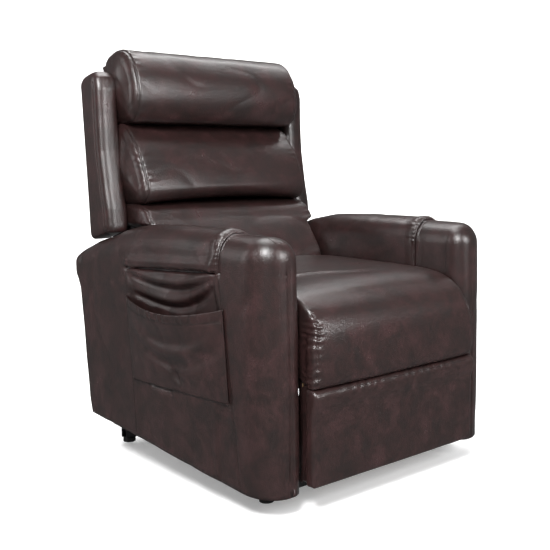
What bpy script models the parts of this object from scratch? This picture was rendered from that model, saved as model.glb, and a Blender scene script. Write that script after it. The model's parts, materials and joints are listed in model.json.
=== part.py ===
"""Lift recliner armchair: a steel lift base, a tilting seat carriage with arms, a reclining back, a footrest
that folds out and three electric actuators. Metres; +Z up, -Y is the front, +X is the sitter's left.
The origin is on the floor, under the middle of the chair's bounding box."""
import math

import bmesh
import bpy
from mathutils import Matrix, Vector

# ---- overall sizes -------------------------------------------------------------------------------------------
DEPTH = 0.832            # footrest front to the rear swell of the arms
HEIGHT = 1.056           # top of the head cushion
SEAT_WIDTH = 0.528       # between the arms
ARM_THICK = 0.124        # arm pad, from its inner to its outer swell
BACK_PROUD = 0.026       # head and middle cushions, beyond the seat width on each side
WING_THICK = 0.070
SEAT_TOP = 0.475         # front of the seat
ARM_TOP = 0.610          # crest of the arm pad behind the front post
HEM_FRONT = 0.041        # lower edge of the arm at the front
HEM_REAR = 0.090         # lower edge of the arm at the rear
BACK_LEAN = 0.070        # the back plane moves this much rearwards per metre of height
GAP = 0.0004             # between pieces that touch
PLAY = 0.0006            # round a pin in its hole
SIDE_PLAY = 0.0022       # between linkage plates

FRONT = -DEPTH / 2
REAR = DEPTH / 2

# ---- mechanism -----------------------------------------------------------------------------------------------
LIFT_PIVOT = Vector((0.0, -0.190, 0.235))        # lift arm on the base
LIFT_END = Vector((0.0, 0.200, 0.100))           # lift arm on the seat carriage
LINK_PIVOT = Vector((0.0, -0.2598, 0.230))       # lift link on the base
LINK_END = Vector((0.0, -0.0343, 0.1309))        # lift link on the seat carriage: the opened pivot
FOOT_PIVOT = Vector((0.0, FRONT + 0.066, 0.413))  # footrest on the carriage
FOOT_SHAFT = Vector((0.0, -0.170, 0.350))        # footrest drive shaft on the carriage
CRANK = Vector((0.0, 0.050, -0.128))             # from either of those two to its end of the push link
BACK_PIVOT = Vector((0.0, REAR - 0.156, 0.345))  # back on the carriage
LIFT_MOTOR = (Vector((0.0, -0.240, 0.080)), Vector((0.0, 0.0, 0.160)))
BACK_MOTOR = (Vector((0.095, -0.100, 0.290)), BACK_PIVOT + Vector((0.095, 0.010, -0.100)))
FOOT_MOTOR = (Vector((-0.095, 0.130, 0.300)), FOOT_SHAFT + Vector((-0.095, 0.020, -0.036)))
BACK_STROKE = 0.075      # room for the back motor's rod to draw in
TUBE = 0.025             # square tube
TUBE_WALL = 0.002
PLATE = 0.006
LINK_THICK = 0.005
PIN_R = 0.006
SHAFT_R = 0.0125
OPEN_PIVOT_PLAY = 0.0012  # round the pin of the opened lift link pivot
SLOT_PLAY = 0.0095       # round the rod-end pins, whose pivots are the opened ones
RAIL_LOW, RAIL_HIGH = 0.315, 0.372
RAIL_THICK = 0.018
RAIL_FRONT = FOOT_PIVOT.y + 0.015
BASE_TUBE_LOW = 0.012
BASE_FRONT = FRONT + 0.131                       # middle of the front floor tube
BASE_REAR = REAR - 0.116                         # middle of the rear floor tube
GLIDE_R = 0.017
SPRING_WIRE_R = 0.0018

# ---- linkage layers on each side, worked inwards from the arm's inner face -----------------------------------
RAIL_OUT = SEAT_WIDTH / 2 - 0.004
RAIL_IN = RAIL_OUT - RAIL_THICK
HANGER_IN = RAIL_IN - PLATE
LINK_OUT = HANGER_IN - SIDE_PLAY
LINK_IN = LINK_OUT - LINK_THICK
POST_OUT = LINK_IN - SIDE_PLAY
POST_IN = POST_OUT - PLATE
ARM_OUT = POST_IN - SIDE_PLAY
ARM_IN = ARM_OUT - TUBE
PUSH_OUT = ARM_IN - 0.006
PUSH_IN = PUSH_OUT - LINK_THICK
CRANK_OUT = PUSH_IN - SIDE_PLAY
CRANK_IN = CRANK_OUT - PLATE

# ---- upholstery ----------------------------------------------------------------------------------------------
ARM_INNER = SEAT_WIDTH / 2 + 0.002
ARM_OUTER = ARM_INNER + ARM_THICK
SIDE_FACE = ARM_OUTER - 0.022    # outer face of the arm's side panel, under its loose cover
POST_FACE = ARM_OUTER - 0.010    # outer face of the arm's front pad
BOARD_IN = ARM_INNER + 0.022
BOARD_OUT = SIDE_FACE - 0.028
ARM_PAD_LOW = 0.515
BASE_HALF_WIDTH = ARM_INNER + 0.044
CUSHION_HALF = SEAT_WIDTH / 2 - 0.003
BACK_HALF = SEAT_WIDTH / 2 + BACK_PROUD
WING_OUT = BACK_HALF + WING_THICK
PAD_THICK = 0.0535       # calf and foot pads
BOARD_THICK = 0.012
FOOTREST_LOW = 0.058
MID_SEAM = 0.274
SKIRT_TOP = 0.320
BACK_PANEL_LOW, BACK_PANEL_TOP = 0.388, 0.985
BACK_SHOULDER = 0.575    # above it the back panel widens to carry the wings
BACK_PANEL_THICK = 0.012
BACK_POST_DEEP = 0.034
POCKET_SHEET = 0.0035
POCKET_FLOOR = 0.010     # thickness of the pocket's floor and ends
POCKET_FRONT, POCKET_REAR = -0.262, 0.135
POCKET_LOW, POCKET_MOUTH = 0.228, 0.432
HANDSET_FRONT, HANDSET_REAR = -0.030, 0.022
HANDSET_LOW, HANDSET_TOP = 0.246, 0.396
HANDSET_THICK = 0.0135
BUTTON_R = 0.010
BUTTON_PITCH = 0.034

COLOURS = {
    "leather": ((0.055, 0.036, 0.034), 0.38, 0.0),
    "steel": ((0.030, 0.030, 0.032), 0.45, 0.6),
    "zinc": ((0.55, 0.56, 0.58), 0.35, 0.9),
    "ply": ((0.48, 0.33, 0.19), 0.65, 0.0),
    "lining": ((0.025, 0.025, 0.027), 0.9, 0.0),
    "plastic": ((0.020, 0.020, 0.022), 0.4, 0.0),
    "button": ((0.42, 0.43, 0.45), 0.5, 0.0),
    "glide": ((0.015, 0.015, 0.016), 0.7, 0.0),
}


def clear_scene():
    for old in list(bpy.data.objects):
        bpy.data.objects.remove(old, do_unlink=True)


def material(slot):
    found = bpy.data.materials.get(slot)
    if found:
        return found
    colour, roughness, metallic = COLOURS[slot]
    made = bpy.data.materials.new(slot)
    made.use_nodes = True
    shader = made.node_tree.nodes["Principled BSDF"]
    shader.inputs["Base Color"].default_value = (*colour, 1.0)
    shader.inputs["Roughness"].default_value = roughness
    shader.inputs["Metallic"].default_value = metallic
    return made


def body_empty(name, place):
    empty = bpy.data.objects.new(name, None)
    empty.location = place
    bpy.context.collection.objects.link(empty)
    return empty


# ---- shapes: each returns a bmesh in world coordinates -------------------------------------------------------
def box(low, high):
    low, high = Vector(low), Vector(high)
    bm = bmesh.new()
    bmesh.ops.create_cube(bm, size=1.0)
    bmesh.ops.scale(bm, vec=high - low, verts=bm.verts)
    bmesh.ops.translate(bm, vec=(low + high) / 2, verts=bm.verts)
    return bm


def side_prism(outline, x_a, x_b):
    """Extrude an outline of (y, z) points from x_a to x_b."""
    bm = bmesh.new()
    face = bm.faces.new([bm.verts.new((x_a, y, z)) for y, z in outline])
    made = bmesh.ops.extrude_face_region(bm, geom=[face])
    moved = [v for v in made["geom"] if isinstance(v, bmesh.types.BMVert)]
    bmesh.ops.translate(bm, vec=(x_b - x_a, 0, 0), verts=moved)
    bmesh.ops.recalc_face_normals(bm, faces=bm.faces)
    return bm


def rod(a, b, radius, sides=12):
    a, b = Vector(a), Vector(b)
    bm = bmesh.new()
    bmesh.ops.create_cone(bm, cap_ends=True, segments=sides, radius1=radius, radius2=radius,
                          depth=(b - a).length)
    turn = Vector((0, 0, 1)).rotation_difference(b - a).to_matrix().to_4x4()
    bmesh.ops.transform(bm, matrix=Matrix.Translation((a + b) / 2) @ turn, verts=bm.verts)
    return bm


def lathe(a, b, profile, sides=14):
    """Turn (distance from a, radius) points, starting and ending on the axis, round the line from a to b."""
    a, b = Vector(a), Vector(b)
    bm = bmesh.new()
    turn = Vector((0, 0, 1)).rotation_difference(b - a).to_matrix()
    rings = []
    for along, radius in profile:
        if radius == 0.0:
            rings.append([bm.verts.new(a + turn @ Vector((0, 0, along)))])
            continue
        angles = [2 * math.pi * i / sides for i in range(sides)]
        rings.append([bm.verts.new(a + turn @ Vector((radius * math.cos(t), radius * math.sin(t), along)))
                      for t in angles])
    for near, far in zip(rings, rings[1:]):
        for i in range(sides):
            j = (i + 1) % sides
            if len(near) == 1:
                bm.faces.new((near[0], far[i], far[j]))
            elif len(far) == 1:
                bm.faces.new((near[i], far[0], near[j]))
            else:
                bm.faces.new((near[i], far[i], far[j], near[j]))
    bmesh.ops.recalc_face_normals(bm, faces=bm.faces)
    return bm


def square_tube(a, b, size=TUBE, height=None):
    """A hollow rectangular tube along X or Y, open at both ends."""
    a, b = Vector(a), Vector(b)
    along = (b - a).normalized()
    across = along.cross(Vector((0, 0, 1)))
    up = Vector((0, 0, 1))
    half_w, half_h = size / 2, (height or size) / 2
    bm = bmesh.new()
    loops = []
    for end in (a, b):
        for inset in (0.0, TUBE_WALL):
            w, h = half_w - inset, half_h - inset
            loops.append([bm.verts.new(end + across * w * i + up * h * j)
                          for i, j in ((-1, -1), (1, -1), (1, 1), (-1, 1))])
    for first, second in ((0, 1), (0, 2), (1, 3), (2, 3)):
        for i in range(4):
            j = (i + 1) % 4
            bm.faces.new((loops[first][i], loops[first][j], loops[second][j], loops[second][i]))
    bmesh.ops.recalc_face_normals(bm, faces=bm.faces)
    return bm


def bar_outline(a, b, width, steps=6):
    """A flat bar's (y, z) outline from pivot a to pivot b, with round ends."""
    run = (b - a).normalized()
    start = math.atan2(run.z, run.y)
    points = []
    for centre, first in ((b, start - math.pi / 2), (a, start + math.pi / 2)):
        for i in range(steps + 1):
            t = first + math.pi * i / steps
            points.append((centre.y + width / 2 * math.cos(t), centre.z + width / 2 * math.sin(t)))
    return points


def rounded(outline, radius, steps=3):
    """The (y, z) outline with each corner turned into an arc-like curve of this reach."""
    points = []
    count = len(outline)
    for i in range(count):
        here = Vector(outline[i])
        before = Vector(outline[i - 1]) - here
        after = Vector(outline[(i + 1) % count]) - here
        reach = min(radius, before.length * 0.45, after.length * 0.45)
        a, b = here + before.normalized() * reach, here + after.normalized() * reach
        for k in range(steps + 1):
            t = k / steps
            points.append(tuple(a * (1 - t) ** 2 + here * 2 * t * (1 - t) + b * t ** 2))
    return points


def loft(rings):
    """Skin closed rings of equal length, one after the other, and cap both ends."""
    bm = bmesh.new()
    made = [[bm.verts.new(p) for p in ring] for ring in rings]
    for near, far in zip(made, made[1:]):
        for i in range(len(near)):
            j = (i + 1) % len(near)
            bm.faces.new((near[i], near[j], far[j], far[i]))
    bm.faces.new(made[0])
    bm.faces.new(made[-1])
    bmesh.ops.recalc_face_normals(bm, faces=bm.faces)
    return bm


# ---- objects -------------------------------------------------------------------------------------------------
def put(name, bm, slot, body, bevel=0.0, segments=1):
    """Make the node's object on its body's empty, whose place is the joint's axis."""
    bmesh.ops.translate(bm, vec=-body.location, verts=bm.verts)
    mesh = bpy.data.meshes.new(name)
    bm.to_mesh(mesh)
    bm.free()
    mesh.shade_smooth()
    mesh.set_sharp_from_angle(angle=math.radians(35))
    made = bpy.data.objects.new(name, mesh)
    made.data.materials.append(material(slot))
    made.parent = body
    bpy.context.collection.objects.link(made)
    if bevel:
        rounding = made.modifiers.new("edge", "BEVEL")
        rounding.width = bevel
        rounding.segments = segments
        rounding.limit_method = "ANGLE"
        rounding.angle_limit = math.radians(50)
    return made


def combine(target, bm, how):
    """Join bm to the target ('UNION') or cut it away ('DIFFERENCE'), and keep the result as the mesh."""
    other = put("tool", bm, "steel", target.parent)
    change = target.modifiers.new("change", "BOOLEAN")
    change.operation = how
    change.object = other
    bpy.context.view_layer.update()
    done = bpy.data.meshes.new_from_object(target.evaluated_get(bpy.context.evaluated_depsgraph_get()))
    target.modifiers.clear()
    target.data = done
    target.data.materials.clear()
    target.data.materials.append(bpy.data.materials[target["slot"]])
    for face in done.polygons:
        face.material_index = 0
    bpy.data.objects.remove(other, do_unlink=True)
    return target


def build(name, first, slot, body, joins=(), cuts=()):
    """A node from one shape, more shapes welded to it, and shapes cut out of it."""
    made = put(name, first, slot, body)
    made["slot"] = slot
    for shape in joins:
        combine(made, shape, "UNION")
    for shape in cuts:
        combine(made, shape, "DIFFERENCE")
    return made


def at_x(point, x):
    return Vector((x, point.y, point.z))


def cross_pin(point, x_a, x_b, radius=PIN_R):
    return rod(at_x(point, x_a), at_x(point, x_b), radius)


def back_plane(z):
    """Rear face of the back at this height."""
    return REAR - 0.079 + BACK_LEAN * z


def arm_crest(y):
    """Height of the arm's crest along its length: level, then falling to the rear."""
    along = y - FRONT
    return ARM_TOP - 0.027 * max(0.0, along - 0.196) - 0.32 * max(0.0, along - 0.366) ** 2


def hem(y):
    """Height of the arm's lower edge, which rises towards the rear."""
    return HEM_FRONT + (HEM_REAR - HEM_FRONT) * (y - FRONT - 0.032) / (DEPTH - 0.111)


SIDES = (("right", -1), ("left", 1))     # the sitter's right and left


# ---- base ----------------------------------------------------------------------------------------------------
def base_frame(body):
    tube_mid = BASE_TUBE_LOW + TUBE / 2

    def cross_tube(y):
        return square_tube((-BASE_HALF_WIDTH, y, tube_mid), (BASE_HALF_WIDTH, y, tube_mid))

    pivot, _ = LIFT_MOTOR
    ears = [side_prism(bar_outline(pivot, Vector((0, BASE_FRONT, tube_mid)), 0.030), x, x + PLATE)
            for x in (-0.017, 0.011)]
    eye = cross_pin(pivot, -0.03, 0.03, PIN_R + PLAY)
    build("floor_front_tube", cross_tube(BASE_FRONT), "steel", body, joins=ears, cuts=[eye])
    put("floor_rear_tube", cross_tube(BASE_REAR), "steel", body)
    inset = TUBE / 2 + GAP
    top = BASE_TUBE_LOW + TUBE + GAP
    for side, sign in SIDES:
        x = sign * (POST_IN + PLATE / 2)
        side_tube = square_tube((x, BASE_FRONT + inset, tube_mid), (x, BASE_REAR - inset, tube_mid))
        put(f"floor_side_tube_{side}", side_tube, "steel", body)
        outline = [(BASE_FRONT - 0.0048, top), (LIFT_PIVOT.y + 0.045, top),
                   (LIFT_PIVOT.y + 0.022, LIFT_PIVOT.z), (LIFT_PIVOT.y + 0.010, LIFT_PIVOT.z + 0.022),
                   (LINK_PIVOT.y - 0.012, LINK_PIVOT.z + 0.022), (LINK_PIVOT.y - 0.024, LINK_PIVOT.z)]
        holes = [cross_pin(p, sign * (POST_IN - 0.01), sign * (POST_OUT + 0.01), PIN_R + PLAY)
                 for p in (LIFT_PIVOT, LINK_PIVOT)]
        post = side_prism(outline, sign * POST_IN, sign * POST_OUT)
        build(f"lift_post_{side}", post, "steel", body, cuts=holes)
        for end, y in (("front", BASE_FRONT), ("rear", BASE_REAR)):
            x = sign * (BASE_HALF_WIDTH - GLIDE_R)
            foot = rod((x, y, 0), (x, y, BASE_TUBE_LOW - GAP), GLIDE_R, 16)
            put(f"floor_glide_{end}_{side}", foot, "glide", body)


# ---- lift linkage --------------------------------------------------------------------------------------------
def lift_linkage(arm_body, link_body):
    for side, sign in SIDES:
        arm = side_prism(bar_outline(LIFT_PIVOT, LIFT_END, TUBE + 0.003), sign * ARM_IN, sign * ARM_OUT)
        pins = [cross_pin(LIFT_PIVOT, sign * (ARM_OUT - 0.004), sign * (POST_OUT + 0.001)),
                cross_pin(LIFT_END, sign * (ARM_OUT - 0.004), sign * (RAIL_IN + 0.003))]
        build(f"lift_arm_{side}", arm, "steel", arm_body, joins=pins)
        link = side_prism(bar_outline(LINK_PIVOT, LINK_END, 0.022), sign * LINK_IN, sign * LINK_OUT)
        pins = [cross_pin(LINK_PIVOT, sign * (POST_IN - 0.001), sign * (LINK_IN + 0.003)),
                cross_pin(LINK_END, sign * (LINK_OUT - 0.003), sign * (RAIL_IN + 0.001))]
        build(f"lift_link_{side}", link, "steel", link_body, joins=pins)
    _, eye = LIFT_MOTOR
    along = (LIFT_END - LIFT_PIVOT).normalized()
    centre = LIFT_PIVOT + along * ((eye - LIFT_PIVOT).dot(along) + 0.062)
    ears = [side_prism(bar_outline(eye, centre, 0.044), x, x + PLATE) for x in (-0.019, 0.013)]
    tube = rod(at_x(centre, -ARM_IN + GAP), at_x(centre, ARM_IN - GAP), SHAFT_R, 14)
    slot = cross_pin(eye, -0.03, 0.03, PIN_R + SLOT_PLAY)
    build("lift_torque_tube", tube, "steel", arm_body, joins=ears, cuts=[slot])


# ---- seat carriage -------------------------------------------------------------------------------------------
def motor_ears(pivot, cross):
    """Two ears from a cross tube to a motor's trunnion, and the hole through them."""
    ears = [side_prism(bar_outline(at_x(pivot, 0), cross, 0.026), pivot.x + x, pivot.x + x + PLATE)
            for x in (-0.017, 0.011)]
    hole = cross_pin(pivot, pivot.x - 0.03, pivot.x + 0.03, PIN_R + PLAY)
    return ears, hole


def seat_steel(body):
    hanger = [(-0.120, 0.345), (-0.078, 0.118), (-0.060, 0.104), (0.170, 0.075), (0.225, 0.075),
              (0.235, 0.110), (0.235, 0.345)]
    for side, sign in SIDES:
        rail = box((min(sign * RAIL_IN, sign * RAIL_OUT), RAIL_FRONT, RAIL_LOW),
                   (max(sign * RAIL_IN, sign * RAIL_OUT), BACK_PIVOT.y + 0.024, RAIL_HIGH))
        plate = side_prism(hanger, sign * HANGER_IN, sign * (RAIL_IN + 0.001))
        through = (sign * (HANGER_IN - 0.01), sign * (RAIL_OUT + 0.01))
        holes = [cross_pin(LIFT_END, *through, PIN_R + PLAY),
                 cross_pin(LINK_END, *through, PIN_R + OPEN_PIVOT_PLAY),
                 cross_pin(BACK_PIVOT, *through, PIN_R + PLAY)]
        build(f"seat_side_rail_{side}", rail, "steel", body, joins=[plate], cuts=holes)
    half = RAIL_IN - GAP
    tube_half = HANGER_IN - GAP
    hinge_seats = [cross_pin(FOOT_PIVOT, sign * CRANK_OUT, sign * (CRANK_OUT + 0.020), 0.008)
                   for _, sign in SIDES]
    tab_front, tab_rear = FOOT_PIVOT.y + 0.0005, FOOT_PIVOT.y + 0.0085
    rail_face = RAIL_FRONT + 0.001
    tab = [(tab_front, RAIL_HIGH - 0.022), (rail_face + 0.001, RAIL_HIGH - 0.022),
           (rail_face + 0.001, RAIL_HIGH - 0.001), (tab_rear, RAIL_HIGH + 0.005), (tab_rear, FOOT_PIVOT.z),
           (tab_front, FOOT_PIVOT.z)]
    hinge_tabs = [side_prism(tab, sign * CRANK_OUT, sign * (CRANK_OUT + 0.020)) for _, sign in SIDES]
    bores = [cross_pin(FOOT_PIVOT, sign * (CRANK_OUT - 0.01), sign * (CRANK_OUT + 0.03), 0.004 + PLAY)
             for _, sign in SIDES]
    rail = box((-half, rail_face, RAIL_HIGH - 0.027), (half, rail_face + TUBE, RAIL_HIGH))
    build("seat_front_rail", rail, "steel", body, joins=[*hinge_tabs, *hinge_seats], cuts=bores)
    mid = Vector((0, -0.080, 0.350))
    ears, hole = motor_ears(BACK_MOTOR[0], mid)
    build("seat_mid_tube", rod(at_x(mid, -tube_half), at_x(mid, tube_half), SHAFT_R, 14), "steel", body,
          joins=ears, cuts=[hole])
    rear = Vector((0, 0.180, 0.350))
    ears, hole = motor_ears(FOOT_MOTOR[0], rear)
    build("seat_rear_tube", rod(at_x(rear, -tube_half), at_x(rear, tube_half), SHAFT_R, 14), "steel", body,
          joins=ears, cuts=[hole])


def seat_spring(body):
    """One sinuous spring wire that winds across the frame, just under the cushion."""
    rows, per_row = 7, 9
    half = SEAT_WIDTH / 2 - 0.074
    z = RAIL_HIGH + SPRING_WIRE_R + GAP
    y_start, y_end = RAIL_FRONT + 0.035, 0.185
    curve = bpy.data.curves.new("seat_spring", "CURVE")
    curve.dimensions = "3D"
    curve.bevel_depth = SPRING_WIRE_R
    curve.bevel_resolution = 1
    curve.use_fill_caps = True
    spline = curve.splines.new("POLY")
    points = []
    for row in range(rows):
        y = y_start + (y_end - y_start) * row / (rows - 1)
        for k in range(per_row):
            share = k / (per_row - 1) if row % 2 == 0 else 1 - k / (per_row - 1)
            points.append((half * (2 * share - 1), y + 0.010 * math.sin(math.pi * 4 * share), z))
    spline.points.add(len(points) - 1)
    for point, place in zip(spline.points, points):
        point.co = (*(Vector(place) - body.location), 1.0)
    made = bpy.data.objects.new("seat_spring", curve)
    made.data.materials.append(material("zinc"))
    made.parent = body
    bpy.context.collection.objects.link(made)


def seat_soft(body):
    low = RAIL_HIGH + 0.007
    front, rear = FOOT_PIVOT.y + 0.010, REAR - 0.322
    outline = [(front, low), (rear, low), (rear, SEAT_TOP + 0.012), (rear - 0.150, SEAT_TOP + 0.012),
               (front + 0.040, SEAT_TOP + 0.002), (front, SEAT_TOP - 0.010)]
    cushion = side_prism(rounded(outline, 0.015, 2), -CUSHION_HALF, CUSHION_HALF)
    put("seat_cushion", cushion, "leather", body, bevel=0.008)
    skirt_rear = REAR - 0.0655
    skirt = box((-CUSHION_HALF, skirt_rear - 0.010, HEM_REAR), (CUSHION_HALF, skirt_rear, SKIRT_TOP))
    put("rear_skirt", skirt, "lining", body)


def arm_ring(y, low, top, sign):
    """One cross-section of the arm pad at y: flat below, domed above, swelling outwards."""
    mid = (ARM_INNER + ARM_OUTER) / 2
    half = (ARM_OUTER - ARM_INNER) / 2
    shoulder = low + 0.385 * (top - low)
    points = [(mid - half * 0.92, low), (mid + half * 0.88, low)]
    for i in range(7):
        t = math.pi * i / 6
        points.append((mid + half * math.cos(t), shoulder + (top - shoulder) * math.sin(t)))
    return [(sign * x, y, z) for x, z in points]


def arms(body):
    post_rear = FRONT + 0.1157
    pad_front = post_rear + 2 * GAP
    # How far the pad's underside has dropped at each place along the arm
    sag = ((pad_front, 0.0), (REAR - 0.606, 0.0), (REAR - 0.466, 0.0), (REAR - 0.336, 0.004),
           (REAR - 0.226, 0.014), (REAR - 0.146, 0.034), (REAR - 0.086, 0.055), (REAR - 0.041, 0.075))
    under = [(pad_front, hem(pad_front)), (REAR - 0.0795, hem(REAR - 0.0795)), (REAR - 0.044, 0.36),
             (REAR - 0.0405, ARM_PAD_LOW - 0.0765), (REAR - 0.146, ARM_PAD_LOW - 0.035),
             (REAR - 0.226, ARM_PAD_LOW - 0.015), (REAR - 0.336, ARM_PAD_LOW - 0.0045),
             (pad_front, ARM_PAD_LOW - 0.0005)]
    core = [(pad_front + 0.017, 0.062), (REAR - 0.093, 0.104), (REAR - 0.060, 0.36),
            (REAR - 0.071, ARM_PAD_LOW - 0.075), (REAR - 0.166, ARM_PAD_LOW - 0.040),
            (REAR - 0.336, ARM_PAD_LOW - 0.013), (pad_front + 0.017, ARM_PAD_LOW - 0.007)]
    front = [(FRONT + 0.032, HEM_FRONT), (post_rear, HEM_FRONT + 0.006), (post_rear, ARM_TOP - 0.010),
             (FRONT + 0.071, ARM_TOP - 0.013), (FRONT + 0.024, ARM_TOP - 0.035), (FRONT + 0.008, ARM_TOP - 0.080)]
    for side, sign in SIDES:
        rings = [arm_ring(y, ARM_PAD_LOW - drop, arm_crest(y), sign) for y, drop in sag]
        rings.append(arm_ring(REAR - 0.013, ARM_PAD_LOW - 0.073, ARM_TOP - 0.092, sign))
        last = arm_ring(REAR, ARM_PAD_LOW - 0.060, ARM_TOP - 0.110, sign)
        rings.append([(x * 0.93 + sign * (ARM_INNER + ARM_OUTER) / 2 * 0.07, y, z) for x, y, z in last])
        put(f"arm_pad_{side}", loft(rings), "leather", body)
        post = side_prism(rounded(front, 0.030, 2), sign * ARM_INNER, sign * POST_FACE)
        put(f"arm_front_pad_{side}", post, "leather", body, bevel=0.014, segments=2)
        outer = side_prism(under, sign * (BOARD_OUT + GAP), sign * SIDE_FACE)
        put(f"arm_outer_panel_{side}", outer, "leather", body, bevel=0.006)
        inner = side_prism(under, sign * ARM_INNER, sign * (BOARD_IN - GAP))
        put(f"arm_inner_panel_{side}", inner, "leather", body, bevel=0.004)
        put(f"arm_frame_{side}", side_prism(core, sign * BOARD_IN, sign * BOARD_OUT), "ply", body)


def side_pocket(body):
    face = -SIDE_FACE - GAP
    out = -ARM_OUTER + 0.0005
    shell = box((out, POCKET_FRONT, POCKET_LOW), (face, POCKET_REAR, POCKET_MOUTH))
    space = box((out + POCKET_SHEET, POCKET_FRONT + POCKET_FLOOR, POCKET_LOW + POCKET_FLOOR),
                (face + 0.02, POCKET_REAR - POCKET_FLOOR, POCKET_MOUTH + 0.02))
    build("side_pocket", shell, "leather", body, cuts=[space])


def handset(body, up_body, down_body):
    back = -SIDE_FACE - 0.0010
    front = back - HANDSET_THICK
    middle = (HANDSET_FRONT + HANDSET_REAR) / 2
    wells = []
    for index, (name, holder) in enumerate((("up", up_body), ("down", down_body))):
        z = HANDSET_TOP - 0.044 - BUTTON_PITCH * index
        wells.append(rod((front - 0.01, middle, z), (front + 0.0065, middle, z), BUTTON_R + PLAY, 16))
        button = rod((front - 0.0012, middle, z), (front + 0.0045, middle, z), BUTTON_R, 16)
        put(f"handset_button_{name}", button, "button", holder)
    case = box((front, HANDSET_FRONT, HANDSET_LOW), (back, HANDSET_REAR, HANDSET_TOP))
    build("handset_case", case, "plastic", body, cuts=wells)


# ---- footrest ------------------------------------------------------------------------------------------------
def footrest(body, shaft_body, link_body):
    board_front = FOOT_PIVOT.y - BOARD_THICK
    pad_rear = board_front - GAP
    half = CUSHION_HALF - 0.010
    board = box((-half, board_front, FOOTREST_LOW + 0.017), (half, FOOT_PIVOT.y, FOOT_PIVOT.z - 0.013))
    put("footrest_board", board, "ply", body)
    for name, low, high in (("calf_pad", MID_SEAM + 0.002, FOOT_PIVOT.z - 0.009),
                            ("foot_pad", FOOTREST_LOW, MID_SEAM - 0.002)):
        pad = box((-CUSHION_HALF, pad_rear - PAD_THICK, low), (CUSHION_HALF, pad_rear, high))
        put(name, pad, "leather", body, bevel=0.012, segments=2)
    pivot_y, pivot_z = FOOT_PIVOT.y, FOOT_PIVOT.z
    q = FOOT_PIVOT + CRANK
    r = FOOT_SHAFT + CRANK
    back_face = FOOT_PIVOT.y + GAP
    for side, sign in SIDES:
        outline = [(back_face, q.z - 0.055), (q.y + 0.006, q.z - 0.013), (q.y + 0.013, q.z + 0.004),
                   (back_face + 0.010, q.z + 0.055), (back_face + 0.008, pivot_z + 0.002),
                   (pivot_y + 0.004, pivot_z + 0.008), (pivot_y - 0.004, pivot_z + 0.008),
                   (pivot_y - 0.008, pivot_z + 0.002), (pivot_y - 0.008, pivot_z - 0.0065),
                   (back_face, pivot_z - 0.0085)]
        plate = side_prism(outline, sign * CRANK_IN, sign * CRANK_OUT)
        pins = [cross_pin(FOOT_PIVOT, sign * (CRANK_OUT - 0.003), sign * (CRANK_OUT + 0.018), 0.004),
                cross_pin(q, sign * (CRANK_OUT - 0.003), sign * (PUSH_OUT + 0.001))]
        build(f"footrest_bracket_{side}", plate, "steel", body, joins=pins)
        link = side_prism(bar_outline(q, r, 0.022), sign * PUSH_IN, sign * PUSH_OUT)
        holes = [cross_pin(p, sign * (PUSH_IN - 0.01), sign * (PUSH_OUT + 0.01), PIN_R + PLAY)
                 for p in (q, r)]
        build(f"footrest_push_link_{side}", link, "steel", link_body, cuts=holes)
    half = RAIL_IN - GAP
    cranks = [side_prism(bar_outline(FOOT_SHAFT, r, 0.024), sign * CRANK_IN, sign * CRANK_OUT)
              for _, sign in SIDES]
    pins = [cross_pin(r, sign * (CRANK_OUT - 0.003), sign * (PUSH_OUT + 0.001)) for _, sign in SIDES]
    _, eye = FOOT_MOTOR
    levers = [side_prism(bar_outline(FOOT_SHAFT, at_x(eye, 0), 0.046), eye.x + x, eye.x + x + PLATE)
              for x in (-0.019, 0.013)]
    slot = cross_pin(eye, eye.x - 0.03, eye.x + 0.03, PIN_R + SLOT_PLAY)
    shaft = rod(at_x(FOOT_SHAFT, -half), at_x(FOOT_SHAFT, half), SHAFT_R - 0.001, 14)
    build("footrest_drive_shaft", shaft, "steel", shaft_body, joins=[*cranks, *pins, *levers], cuts=[slot])


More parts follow.
